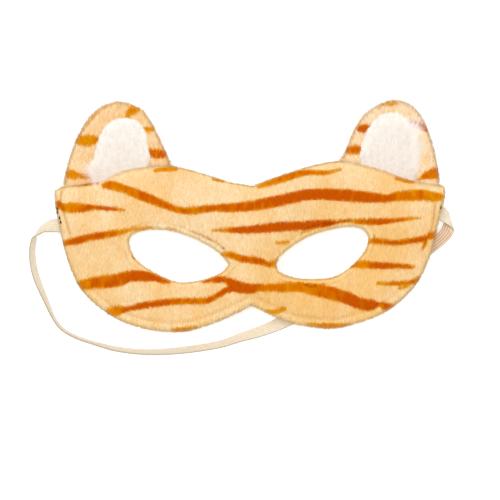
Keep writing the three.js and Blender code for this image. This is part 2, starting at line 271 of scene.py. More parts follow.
# The band's middle line: x, y and lift in millimetres, and tilt in degrees. It twists over once, and
# the last stretch is drawn straight on past FOLD and then folded back over itself.
BAND_ROUTE = (
    (-84.5, -5.2, 3.3, 0), (-92.0, -4.8, 2.9, 0), (-96.2, -4.7, 1.9, 8), (-99.3, -5.4, 1.1, 35),
    (-101.6, -6.2, 0.6, 55), (-103.3, -7.6, 0.3, 67), (-104.8, -9.0, 0.1, 80),
    (-105.9, -10.9, 0, 106), (-106.4, -12.9, 0, 111), (-106.9, -16.7, 0, 114),
    (-106.8, -20.9, 0, 116), (-106.2, -25.0, 0, 117), (-105.2, -29.1, 0, 117),
    (-103.7, -33.3, 0, 116), (-100.3, -41.3, 0, 109), (-98.5, -45.5, 0, 104),
    (-96.6, -49.6, 0, 100), (-93.8, -53.8, 0, 100), (-90.0, -57.0, 0, 100),
    (-84.4, -59.8, 0, 100), (-77.5, -62.1, 0, 101), (-65.3, -65.3, 0, 109),
    (-50.5, -66.8, 0, 112), (-34.3, -66.0, 0, 119), (-14.6, -62.9, 0, 123),
    (-4.9, -59.7, 0, 131), (2.5, -57.5, 0, 142), (9.8, -54.9, 0, 152), (17.2, -51.7, 0, 166),
    (28.0, -46.6, 0, 178), (62.0, -30.2, 0, 180), (84.0, -18.5, 0, 182), (90.5, -13.9, 0, 190),
    (94.0, -11.1, 0, 197), (96.6, -8.1, 0, 194), (98.3, -4.5, 0, 180), (99.1, -2.7, 0, 180),
    (99.9, -0.85, 0, 180), (101.5, 2.8, 0, 180), (104.2, 9.0, 0, 180),
)
FOLD = (97.6, -4.5)
FOLD_ANGLE = 107.0
ROUTE_CENTRE = (0.1, 0.1)


def colour(red: int, green: int, blue: int) -> Colour:
    """Turns a colour as seen on a screen into a shader's linear one, by the usual screen curve.

    Args:
        red: 0 to 255.
        green: 0 to 255.
        blue: 0 to 255.

    Returns:
        Linear red, green and blue, and full alpha.
    """
    linear = []
    for level in (red, green, blue):
        share = level / 255
        linear.append(share / 12.92 if share <= 0.04045 else ((share + 0.055) / 1.055) ** 2.4)
    return (linear[0], linear[1], linear[2], 1.0)


# Mesh helpers


def deselect_all() -> None:
    """Leaves nothing selected and object mode on."""
    if bpy.context.object and bpy.context.object.mode != "OBJECT":
        bpy.ops.object.mode_set(mode="OBJECT")
    bpy.ops.object.select_all(action="DESELECT")


def make_active(piece: bpy.types.Object) -> None:
    """Selects one piece alone and makes it the active one.

    Args:
        piece: the piece.
    """
    deselect_all()
    piece.select_set(True)
    bpy.context.view_layer.objects.active = piece


def apply_modifier(piece: bpy.types.Object, name: str) -> None:
    """Applies one modifier of a piece."""
    make_active(piece)
    bpy.ops.object.modifier_apply(modifier=name)


def read_points(piece: bpy.types.Object) -> np.ndarray:
    """Reads where a piece's vertices are.

    Args:
        piece: the piece.

    Returns:
        One row of x, y and z for each vertex, in metres.
    """
    flat = np.empty(len(piece.data.vertices) * 3)
    piece.data.vertices.foreach_get("co", flat)
    return flat.reshape(-1, 3)


def write_points(piece: bpy.types.Object, points: np.ndarray) -> None:
    """Moves a piece's vertices to the given rows of x, y and z."""
    piece.data.vertices.foreach_set("co", points.ravel())
    piece.data.update()


def read_normals(piece: bpy.types.Object) -> np.ndarray:
    """Reads which way a piece's vertices face.

    Args:
        piece: the piece.

    Returns:
        One row for each vertex's normal.
    """
    flat = np.empty(len(piece.data.vertices) * 3)
    piece.data.vertex_normals.foreach_get("vector", flat)
    return flat.reshape(-1, 3)


def store(piece: bpy.types.Object, name: str, values: np.ndarray) -> None:
    """Keeps one number for each vertex under a name that a material reads."""
    attribute = piece.data.attributes.new(name, "FLOAT", "POINT")
    attribute.data.foreach_set("value", values.astype(np.float32))


def read_number(piece: bpy.types.Object, name: str) -> np.ndarray:
    """Reads a number kept for each vertex.

    Args:
        piece: the piece.
        name: the name that it is kept under.

    Returns:
        The number at each vertex.
    """
    values = np.empty(len(piece.data.vertices))
    piece.data.attributes[name].data.foreach_get("value", values)
    return values


def smooth_shade(piece: bpy.types.Object) -> None:
    """Shades every face of a piece smooth."""
    piece.data.polygons.foreach_set("use_smooth", np.ones(len(piece.data.polygons), bool))


def mesh_piece(name: str, points: np.ndarray, corners: np.ndarray, sizes: np.ndarray) -> bpy.types.Object:
    """Makes a piece from arrays.

    Args:
        name: the piece's name.
        points: one row of x, y and z for each vertex.
        corners: the vertex numbers of every face, one face after another.
        sizes: how many corners each face has.

    Returns:
        The new piece, in the scene's collection.
    """
    mesh = bpy.data.meshes.new(name)
    mesh.vertices.add(len(points))
    mesh.vertices.foreach_set("co", points.ravel())
    mesh.loops.add(len(corners))
    mesh.loops.foreach_set("vertex_index", corners.astype(np.int32))
    mesh.polygons.add(len(sizes))
    starts = np.concatenate(([0], np.cumsum(sizes)[:-1])).astype(np.int32)
    mesh.polygons.foreach_set("loop_start", starts)
    mesh.update(calc_edges=True)
    mesh.validate()
    piece = bpy.data.objects.new(name, mesh)
    bpy.context.collection.objects.link(piece)
    return piece


def copy_of_node(node: str, name: str) -> bpy.types.Object:
    """Copies a solid's mesh as a piece of its own, with its loose triangles joined.

    Args:
        node: the solid's node.
        name: the new piece's name.

    Returns:
        The new piece, with no material.
    """
    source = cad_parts[node]
    piece = bpy.data.objects.new(name, source.data.copy())
    piece.data.materials.clear()
    bpy.context.collection.objects.link(piece)
    make_active(piece)
    bpy.ops.object.mode_set(mode="EDIT")
    bpy.ops.mesh.select_all(action="SELECT")
    bpy.ops.mesh.remove_doubles(threshold=WELD)
    bpy.ops.object.mode_set(mode="OBJECT")
    return piece


def remesh(piece: bpy.types.Object, voxel: float, node: str) -> None:
    """Rebuilds a piece's skin as even squares, drawn back onto its solid.

    Args:
        piece: the piece.
        voxel: the size of the squares, in metres.
        node: the solid's node.
    """
    modifier = piece.modifiers.new("even_skin", "REMESH")
    modifier.mode = "VOXEL"
    modifier.voxel_size = voxel
    apply_modifier(piece, modifier.name)
    wrap = piece.modifiers.new("onto_solid", "SHRINKWRAP")
    wrap.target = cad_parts[node]
    wrap.wrap_method = "NEAREST_SURFACEPOINT"
    apply_modifier(piece, wrap.name)


def subdivide(piece: bpy.types.Object, levels: int) -> None:
    """Subdivides a piece smoothly and applies the result.

    Args:
        piece: the piece.
        levels: how many times each face is halved.
    """
    modifier = piece.modifiers.new("finer", "SUBSURF")
    modifier.levels = levels
    modifier.render_levels = levels
    apply_modifier(piece, modifier.name)


def puff(piece: bpy.types.Object, held: np.ndarray, pressure: float, cap: float) -> None:
    """Blows a padded piece up a little between its seams with a cloth simulation.

    Args:
        piece: the piece, which keeps the result.
        held: for each vertex, whether it is sewn down and stays where it is.
        pressure: the air pressure inside.
        cap: the furthest that any vertex may move, in metres.
    """
    before = read_points(piece)
    pins = piece.vertex_groups.new(name="sewn")
    pins.add(np.flatnonzero(held).tolist(), 1.0, "REPLACE")
    cloth = piece.modifiers.new("puff", "CLOTH")
    cloth.settings.quality = CLOTH_QUALITY
    cloth.settings.mass = CLOTH_MASS
    cloth.settings.use_pressure = True
    cloth.settings.uniform_pressure_force = pressure
    cloth.settings.vertex_group_mass = pins.name
    cloth.settings.effector_weights.gravity = 0
    cloth.point_cache.frame_start = 1
    cloth.point_cache.frame_end = CLOTH_FRAMES
    for step in range(1, CLOTH_FRAMES + 1):
        bpy.context.scene.frame_set(step)
    apply_modifier(piece, cloth.name)
    bpy.context.scene.frame_set(1)
    piece.vertex_groups.clear()
    move = read_points(piece) - before
    reach = np.linalg.norm(move, axis=1, keepdims=True)
    write_points(piece, before + move * np.minimum(1.0, cap / np.maximum(reach, TINY)))


# Plan geometry


def stretch(
    start: np.ndarray, end: np.ndarray, leaving: np.ndarray, arriving: np.ndarray, share: np.ndarray
) -> np.ndarray:
    """Draws one stretch of a smooth curve.

    Args:
        start: the row that it starts from.
        end: the row that it ends at.
        leaving: which way and how fast it leaves the start.
        arriving: the same at the end.
        share: the shares of the way to draw, as a column.

    Returns:
        One row for each share.
    """
    cubic = (2 * start - 2 * end + leaving + arriving) * share**3
    square = (3 * end - 3 * start - 2 * leaving - arriving) * share**2
    return cubic + square + leaving * share + start


def smooth_line(points: np.ndarray, steps: int) -> np.ndarray:
    """Draws a smooth curve through rows of numbers.

    Args:
        points: the rows that the curve passes through.
        steps: how many rows to draw for each stretch.

    Returns:
        The curve as closer rows.
    """
    padded = np.vstack((points[0], points, points[-1]))
    share = np.linspace(0, 1, steps, endpoint=False)[:, None]
    rows = []
    for a, b, c, d in zip(padded, padded[1:], padded[2:], padded[3:]):
        rows.append(stretch(b, c, (c - a) / 2, (d - b) / 2, share))
    rows.append(points[-1:])
    return np.vstack(rows)


def nearest_on_segments(
    plan: np.ndarray, starts: np.ndarray, ends: np.ndarray
) -> tuple[np.ndarray, np.ndarray]:
    """Measures plan points against segments.

    Args:
        plan: one row of x and y for each point.
        starts: one row of x and y for each segment's start.
        ends: the same for its end.

    Returns:
        For every point and segment, the distance and the share along the segment.
    """
    along = ends - starts
    length = np.maximum((along**2).sum(1), TINY**2)
    offset = plan[:, None, :] - starts[None]
    share = np.clip((offset * along).sum(2) / length, 0, 1)
    gap = offset - share[..., None] * along
    return np.sqrt((gap**2).sum(2)), share


def in_batches(plan: np.ndarray, size: int = 8000) -> list[np.ndarray]:
    """Splits many plan points into batches that fit in memory."""
    return [plan[i : i + size] for i in range(0, len(plan), size)]


def distance_to_segments(plan: np.ndarray, starts: np.ndarray, ends: np.ndarray) -> np.ndarray:
    """Measures many plan points against segments.

    Args:
        plan: one row of x and y, or more, for each point.
        starts: one row of x and y for each segment's start.
        ends: the same for its end.

    Returns:
        Each point's distance from the nearest segment.
    """
    found = []
    for batch in in_batches(plan[:, :2]):
        gap, _ = nearest_on_segments(batch, starts, ends)
        found.append(gap.min(1))
    return np.concatenate(found)


def distance_to_line(plan: np.ndarray, line: Line) -> np.ndarray:
    """Measures plan points against a smooth line.

    Args:
        plan: one row of x and y for each point, in metres.
        line: the points that the line passes through, in millimetres.

    Returns:
        Each point's distance from the line, in metres.
    """
    rows = smooth_line(np.array(line) * MM, LINE_STEPS)
    return distance_to_segments(plan, rows[:-1], rows[1:])


def rumple(plan: np.ndarray, wavelength: float, seed: int) -> np.ndarray:
    """Gives a gentle random swell at each plan point.

    Args:
        plan: one row of x and y for each point, in metres.
        wavelength: the usual distance between swells, in metres.
        seed: picks the pattern.

    Returns:
        One number for each point, from about -1 to 1.
    """
    dice = np.random.default_rng(seed)
    swell = np.zeros(len(plan))
    for _ in range(SWELL_WAVES):
        angle = dice.uniform(0, math.tau)
        pitch = math.tau / (wavelength * dice.uniform(0.7, 1.6))
        way = np.array((math.cos(angle), math.sin(angle))) * pitch
        swell += np.sin(plan[:, :2] @ way + dice.uniform(0, math.tau))
    return swell / math.sqrt(SWELL_WAVES)


class StripePrint:
    """The stripes printed on one piece of plush."""

    STEPS = 5
    DEEPEST = 3.0

    def __init__(self, stripes: tuple[Stripe, ...]) -> None:
        """Draws every stripe as short segments with a half-width at each end and a tone.

        Args:
            stripes: the stripes, in millimetres.
        """
        starts, ends, tones = [], [], []
        for stripe in stripes:
            line = smooth_line(np.array(stripe.points) * MM, self.STEPS)
            starts.append(line[:-1])
            ends.append(line[1:])
            along = np.linspace(0, len(stripe.tones) - 1, len(line) - 1)
            tones.append(np.interp(along, np.arange(len(stripe.tones)), stripe.tones))
        self.starts = np.vstack(starts)
        self.ends = np.vstack(ends)
        self.tones = np.concatenate(tones)

    def measure(self, plan: np.ndarray) -> tuple[np.ndarray, np.ndarray]:
        """Measures how deep plan points lie inside the stripes.

        Args:
            plan: one row of x and y for each point, in metres.

        Returns:
            The depth inside the nearest stripe in millimetres, negative outside, and its tone.
        """
        depths, tones = [], []
        for batch in in_batches(plan[:, :2]):
            gap, share = nearest_on_segments(batch, self.starts[:, :2], self.ends[:, :2])
            half = self.starts[:, 2] * (1 - share) + self.ends[:, 2] * share
            depth = half - gap
            best = depth.argmax(1)
            depths.append(depth[np.arange(len(batch)), best])
            tones.append(self.tones[best])
        depth = np.clip(np.concatenate(depths) / MM, -self.DEEPEST, self.DEEPEST)
        return depth, np.concatenate(tones)


class RimMap:
    """The plan outline of a padded solid, read from the upright faces of its rolled rim."""

    UPRIGHT = 0.1
    FEWEST = 20

    def __init__(self, piece: bpy.types.Object) -> None:
        """Collects the segments of the rim and sorts them into closed loops.

        Args:
            piece: the padded solid's mesh, with its loose triangles joined.
        """
        points = read_points(piece)
        pairs = set()
        for face in piece.data.polygons:
            if abs(face.normal.z) > self.UPRIGHT:
                continue
            for a, b in face.edge_keys:
                start, end = (tuple(np.round(points[k][:2], 6)) for k in (a, b))
                if start != end:
                    pairs.add((min(start, end), max(start, end)))
        self.loops = self._sort(sorted(pairs))

    @staticmethod
    def _sort(pairs: list[tuple]) -> list[np.ndarray]:
        """Groups touching segments into loops.

        Args:
            pairs: each segment's two ends in plan.

        Returns:
            The segments of each loop, the largest loop first, without stray ones.
        """
        touching: dict[tuple, list[int]] = {}
        for number, pair in enumerate(pairs):
            for end in pair:
                touching.setdefault(end, []).append(number)
        loops = []
        unseen = set(range(len(pairs)))
        while unseen:
            queue = [min(unseen)]
            unseen.discard(queue[0])
            members = []
            while queue:
                number = queue.pop()
                members.append(number)
                for end in pairs[number]:
                    for other in touching[end]:
                        if other in unseen:
                            unseen.discard(other)
                            queue.append(other)
            if len(members) >= RimMap.FEWEST:
                loops.append(np.array([pairs[k] for k in sorted(members)]))
        return sorted(loops, key=len, reverse=True)

    def distance(self, plan: np.ndarray, loops: list[np.ndarray]) -> np.ndarray:
        """Measures plan points against some of the loops.

        Args:
            plan: one row of x and y for each point, in metres.
            loops: the loops.

        Returns:
            Each point's distance from the nearest loop, in metres.
        """
        segments = np.concatenate(loops)
        return distance_to_segments(plan, segments[:, 0], segments[:, 1])

    def outer(self, plan: np.ndarray) -> np.ndarray:
        """Returns the distance from the outline."""
        return self.distance(plan, self.loops[:1])

    def holes(self, plan: np.ndarray) -> np.ndarray:
        """Returns the distance from the rims of the holes, or a long one where there is none."""
        found = self.loops[1:]
        return self.distance(plan, found) if found else np.full(len(plan), FAR)


# Materials


class Recipe:
    """Lays out one material's nodes."""

    WARMTH = (0.45, 1.0, 1.7)

    def __init__(self, name: str) -> None:
        """Starts a material that holds only its surface shader and output.

        Args:
            name: the material's name.
        """
        self.material = bpy.data.materials.new(name)
        self.material.use_nodes = True
        self.tree = self.material.node_tree
        self.tree.nodes.clear()
        self.shader = self.add("ShaderNodeBsdfPrincipled")
        output = self.add("ShaderNodeOutputMaterial")
        self.join(self.shader.outputs["BSDF"], output.inputs["Surface"])

    def add(self, kind: str, **settings: object) -> bpy.types.Node:
        """Adds a node.

        Args:
            kind: the node's type.
            settings: its own properties.

        Returns:
            The node.
        """
        node = self.tree.nodes.new(kind)
        for key, value in settings.items():
            setattr(node, key, value)
        return node

    def join(self, source: Socket, target: Socket) -> None:
        """Links one socket to another."""
        self.tree.links.new(source, target)

    def attribute(self, name: str) -> Socket:
        """Reads a number kept on the mesh."""
        return self.add("ShaderNodeAttribute", attribute_name=name).outputs["Fac"]

    def place(self, scale: Triple) -> Socket:
        """Gives Object coordinates stretched by a scale.

        Args:
            scale: how many times along x, y and z.

        Returns:
            The stretched place.
        """
        mapping = self.add("ShaderNodeMapping")
        mapping.inputs["Scale"].default_value = scale
        self.join(self.add("ShaderNodeTexCoord").outputs["Object"], mapping.inputs["Vector"])
        return mapping.outputs["Vector"]

    def slope(self, rise: Triple) -> Socket:
        """Gives a value that rises steadily across the piece.

        Args:
            rise: how much it rises for each metre along x, y and z.

        Returns:
            The value, which is 0 at the origin.
        """
        node = self.add("ShaderNodeVectorMath", operation="DOT_PRODUCT")
        self.join(self.place((1.0, 1.0, 1.0)), node.inputs[0])
        node.inputs[1].default_value = rise
        return node.outputs["Value"]

    def noise(self, where: Socket, detail: float = 2.0) -> Socket:
        """Adds a noise texture.

        Args:
            where: the place that it reads.
            detail: how many finer layers it has.

        Returns:
            Its value, from 0 to 1.
        """
        node = self.add("ShaderNodeTexNoise")
        node.inputs["Scale"].default_value = 1.0
        node.inputs["Detail"].default_value = detail
        self.join(where, node.inputs["Vector"])
        return node.outputs["Fac"]

    def math(self, operation: str, first: object, second: object, clamp: bool = False) -> Socket:
        """Adds a math node.

        Args:
            operation: what it does.
            first: a socket or a number.
            second: another.
            clamp: whether the result is kept between 0 and 1.

        Returns:
            The result.
        """
        node = self.add("ShaderNodeMath", operation=operation, use_clamp=clamp)
        for value, socket in zip((first, second), node.inputs):
            if isinstance(value, (int, float)):
                socket.default_value = value
            else:
                self.join(value, socket)
        return node.outputs["Value"]

    def spread(self, value: Socket, low: float, high: float, to: Range) -> Socket:
        """Maps a value smoothly onto another range.

        Args:
            value: the value.
            low: where its range starts.
            high: where it ends.
            to: the two ends of the new range.

        Returns:
            The new value.
        """
        node = self.add("ShaderNodeMapRange", interpolation_type="SMOOTHSTEP")
        self.join(value, node.inputs["Value"])
        node.inputs["From Min"].default_value = low
        node.inputs["From Max"].default_value = high
        node.inputs["To Min"].default_value = to[0]
        node.inputs["To Max"].default_value = to[1]
        return node.outputs["Result"]

    def mix(self, share: object, first: object, second: object, blend: str = "MIX") -> Socket:
        """Mixes two colours.

        Args:
            share: how much of the second, as a socket or a number.
            first: a socket or a plain colour.
            second: another.
            blend: how the second is laid on the first.

        Returns:
            The mixed colour.
        """
        node = self.add("ShaderNodeMix", data_type="RGBA", blend_type=blend)
        sockets = [s for s in node.inputs if s.type == "RGBA"]
        for value, socket in ((share, node.inputs[0]), (first, sockets[0]), (second, sockets[1])):
            if isinstance(value, (tuple, int, float)):
                socket.default_value = value
            else:
                self.join(value, socket)
        return next(s for s in node.outputs if s.type == "RGBA")

    def grey(self, value: Socket) -> Socket:
        """Turns a number into a grey colour.

        Args:
            value: how light it is.

        Returns:
            The colour.
        """
        node = self.add("ShaderNodeCombineColor")
        for socket in node.inputs:
            self.join(value, socket)
        return node.outputs["Color"]

    def warm(self, value: Socket) -> Socket:
        """Turns a shade into a colour whose dark side is warm, as where light passes through fibres.

        Args:
            value: how light it is.

        Returns:
            The colour, which is white at 1.
        """
        node = self.add("ShaderNodeCombineColor")
        for power, socket in zip(self.WARMTH, node.inputs):
            self.join(self.math("POWER", value, power), socket)
        return node.outputs["Color"]

    def paint(self, shade: object, light: Socket) -> None:
        """Gives the surface a colour times how light it is."""
        self.join(self.mix(1.0, shade, light, "MULTIPLY"), self.shader.inputs["Base Color"])

    def bump(self, height: Socket, strength: float, distance: float) -> None:
        """Raises the surface by a height pattern.

        Args:
            height: the pattern.
            strength: how much of it shows.
            distance: the height of its peaks, in metres.
        """
        node = self.add("ShaderNodeBump")
        node.inputs["Strength"].default_value = strength
        node.inputs["Distance"].default_value = distance
        self.join(height, node.inputs["Height"])
        self.join(node.outputs["Normal"], self.shader.inputs["Normal"])

    def finish(self, roughness: float) -> bpy.types.Material:
        """Sets the shader's even values.

        Args:
            roughness: how rough the surface is.

        Returns:
            The finished material, which has no gloss.
        """
        self.shader.inputs["Roughness"].default_value = roughness
        self.shader.inputs["Specular IOR Level"].default_value = 0.0
        return self.material


@dataclass(frozen=True)
class PlushFinish:
    """Short-pile plush, printed with stripes where the mesh holds a stripe depth."""

    pale: Colour = colour(254, 229, 186)
    deep: Colour = colour(250, 207, 137)
    ochre: Colour = colour(230, 156, 8)
    orange: Colour = colour(222, 126, 2)
    brown: Colour = colour(205, 90, 5)
    # Greyer rim colour: partly bare woven ground, partly painted shade along edges and upright sides
    ground_and_edge_shade: Colour = colour(200, 172, 134)
    ground_and_shade_share: float = 0.55
    print_blur: float = 0.35
    raggedness: float = 1.1
    edge_width: float = 1.2
    edge_tone: Range = (-0.6, 0.15)
    swell: float = 0.27
    patchiness: float = 1.8
    fade: Triple = (1.5, -6.0, 0.0)
    fade_level: float = 0.46
    cloud_scale: Triple = (46, 30, 30)
    cloud_tone: Range = (-0.4, 0.4)
    blotch_scale: Triple = (300, 130, 300)
    blotch_light: Range = (0.96, 1.03)
    streak_scale: Triple = (900, 170, 900)
    streak_height: float = 0.4 * MM
    streak_strength: float = 0.25
    grain_scale: Triple = (1700, 330, 1700)
    grain_light: Range = (0.86, 1.08)
    roughness: float = 0.95

    def build(self, name: str) -> bpy.types.Material:
        """Makes the material.

        Args:
            name: the material's name.

        Returns:
            The material, which reads the attributes stripe, tone, shade and rim.
        """
        recipe = Recipe(name)
        clouds = recipe.noise(recipe.place(self.cloud_scale), 3.0)
        blotches = recipe.noise(recipe.place(self.blotch_scale))
        streaks = recipe.noise(recipe.place(self.streak_scale))
        grain = recipe.noise(recipe.place(self.grain_scale), 1.0)
        # The colour deepens steadily across the piece by fade, and patchily by clouds
        deepening = recipe.math("ADD", recipe.slope(self.fade), self.fade_level)
        deepening = recipe.math("ADD", recipe.spread(clouds, *MOST_NOISE, self.cloud_tone), deepening, clamp=True)
        base = recipe.mix(deepening, self.pale, self.deep)
        ragged = recipe.math("SUBTRACT", streaks, 0.5)
        swollen = recipe.math("ADD", recipe.attribute("stripe"), self.swell)
        depth = recipe.math("ADD", swollen, recipe.math("MULTIPLY", ragged, self.raggedness))
        printed = recipe.spread(depth, -self.print_blur, self.print_blur, (0.0, 1.0))
        uneven = recipe.math("MULTIPLY", recipe.math("SUBTRACT", blotches, 0.5), self.patchiness)
        inner = recipe.spread(depth, 0.0, self.edge_width, self.edge_tone)
        tone = recipe.math("ADD", recipe.attribute("tone"), recipe.math("ADD", uneven, inner), clamp=True)
        warm = recipe.mix(recipe.spread(tone, 0.0, 0.5, (0.0, 1.0)), self.ochre, self.orange)
        ink = recipe.mix(recipe.spread(tone, 0.4, 1.0, (0.0, 1.0)), warm, self.brown)
        # Painted shade: the rim value mixes in the greyer ground colour, partly as bare woven ground
        ground_shade_and_flecks = recipe.math("MULTIPLY", recipe.attribute("rim"), self.ground_and_shade_share)
        dye_and_edge_shade = recipe.mix(ground_shade_and_flecks, recipe.mix(printed, base, ink), self.ground_and_edge_shade)
        lift = recipe.spread(grain, *ALL_NOISE, self.grain_light)
        patch = recipe.spread(blotches, *MOST_NOISE, self.blotch_light)
        shaded = recipe.math("MULTIPLY", recipe.attribute("shade"), recipe.math("MULTIPLY", lift, patch))
        recipe.paint(dye_and_edge_shade, recipe.warm(shaded))
        recipe.bump(streaks, self.streak_strength, self.streak_height)
        return recipe.finish(self.roughness)


@dataclass(frozen=True)
class FurFinish:
    """Long white fur, with painted shade that makes it a little warmer and darker towards its roots."""

    # Painted shade: the roots are a little darker and warmer, since the hair casts no shadow of its own
    root: Colour = colour(234, 211, 197)
    tip: Colour = colour(240, 241, 234)
    roughness: float = 0.85

    def build(self, name: str) -> bpy.types.Material:
        """Makes the material.

        Args:
            name: the material's name.

        Returns:
            The material, which reads the attributes along and shade.
        """
        recipe = Recipe(name)
        hair = recipe.mix(recipe.attribute("along"), self.root, self.tip)
        recipe.paint(hair, recipe.grey(recipe.attribute("shade")))
        return recipe.finish(self.roughness)


@dataclass(frozen=True)
class ElasticFinish:
    """Flat ribbed cream elastic, greyer at its edges with painted edge shadow, with painted shade in its
    furrows and under its fold.
    """

    cream: Colour = colour(234, 221, 199)
    # Painted shade: furrows darker than the cream, and the stretch under the fold darker and browner
    furrow_shade: Colour = colour(219, 204, 181)
    under_fold_shade: Colour = colour(234, 204, 176)
    under_fold_furrow_shade: Colour = colour(176, 131, 97)
    # Greyer edges: partly the selvage's own colour, partly painted edge shadow
    edge: Colour = colour(184, 168, 150)
    weft_pitch: float = 0.9 * MM
    weft_light: float = 0.025
    weft_height: float = 0.1 * MM
    weft_strength: float = 0.25
    fleck_scale: Triple = (700, 700, 700)
    fleck_light: Range = (0.94, 1.04)
    roughness: float = 0.8

    def build(self, name: str) -> bpy.types.Material:
        """Makes the material.

        Args:
            name: the material's name.

        Returns:
            The material, which reads the attributes rib, under_fold_shade, selvage_and_shadow and run.
        """
        recipe = Recipe(name)
        rib = recipe.attribute("rib")
        # Painted shade in the furrows, deepest on the stretch under the fold, and painted shadow on the
        # edges
        open_stretch = recipe.mix(rib, self.furrow_shade, self.cream)
        under_fold_shade = recipe.mix(rib, self.under_fold_furrow_shade, self.under_fold_shade)
        faces = recipe.mix(recipe.attribute("under_fold_shade"), open_stretch, under_fold_shade)
        woven = recipe.mix(recipe.attribute("selvage_and_shadow"), faces, self.edge)
        flecks = recipe.noise(recipe.place(self.fleck_scale))
        turns = recipe.math("MULTIPLY", recipe.attribute("run"), math.tau / self.weft_pitch)
        weft = recipe.math("SINE", turns, 0.0)
        uneven = recipe.spread(flecks, *ALL_NOISE, self.fleck_light)
        ground_shade_and_flecks = recipe.math("ADD", uneven, recipe.math("MULTIPLY", weft, self.weft_light))
        recipe.paint(woven, recipe.grey(ground_shade_and_flecks))
        recipe.bump(weft, self.weft_strength, self.weft_height)
        return recipe.finish(self.roughness)


@dataclass(frozen=True)
class LiningFinish:
    """The plain knitted lining on the inside of the mask."""

    yarn: Colour = colour(238, 220, 190)
    # Painted shade: the knit is darker in the gaps between its rows
    gap: Colour = colour(206, 182, 148)
    stitch_pitch: float = 1.1 * MM
    stitch_stretch: float = 0.6
    stitch_height: float = 0.2 * MM
    stitch_strength: float = 0.4
    waviness: float = 1.2
    roughness: float = 0.9

    # The scale at which the texture draws one band for each metre
    BANDS = math.pi / 10

    def build(self, name: str) -> bpy.types.Material:
        """Makes the material.

        Args:
            name: the material's name.

        Returns:
            The material, whose knit reads Object coordinates.
        """
        recipe = Recipe(name)
        rows = recipe.add("ShaderNodeTexWave", wave_type="BANDS", bands_direction="X")
        rows.inputs["Scale"].default_value = 1.0
        rows.inputs["Distortion"].default_value = self.waviness
        rows.inputs["Detail Scale"].default_value = 2.0
        pitch = self.BANDS / self.stitch_pitch
        recipe.join(recipe.place((pitch, pitch * self.stitch_stretch, pitch)), rows.inputs["Vector"])
        # Painted shade in the gaps between the knit's rows, on top of the bump
        knit = recipe.mix(rows.outputs["Fac"], self.gap, self.yarn)
        recipe.join(knit, recipe.shader.inputs["Base Color"])
        recipe.bump(rows.outputs["Fac"], self.stitch_strength, self.stitch_height)
        return recipe.finish(self.roughness)


@dataclass(frozen=True)
class PlainFinish:
    """An even colour with a slight grain, for thread and for the floor."""

    shade: Colour
    roughness: float = 0.8
    variation: float = 0.06
    grain_scale: Triple = (400, 400, 400)
    glow: float = 0.0

    def build(self, name: str) -> bpy.types.Material:
        """Makes the material.

        Args:
            name: the material's name.

        Returns:
            The material.
        """
        recipe = Recipe(name)
        grain = recipe.noise(recipe.place(self.grain_scale))
        lift = recipe.spread(grain, *MOST_NOISE, (1 - self.variation, 1.0))
        recipe.paint(self.shade, recipe.grey(lift))
        recipe.shader.inputs["Emission Color"].default_value = self.shade
        recipe.shader.inputs["Emission Strength"].default_value = self.glow
        return recipe.finish(self.roughness)


# Pile and fur


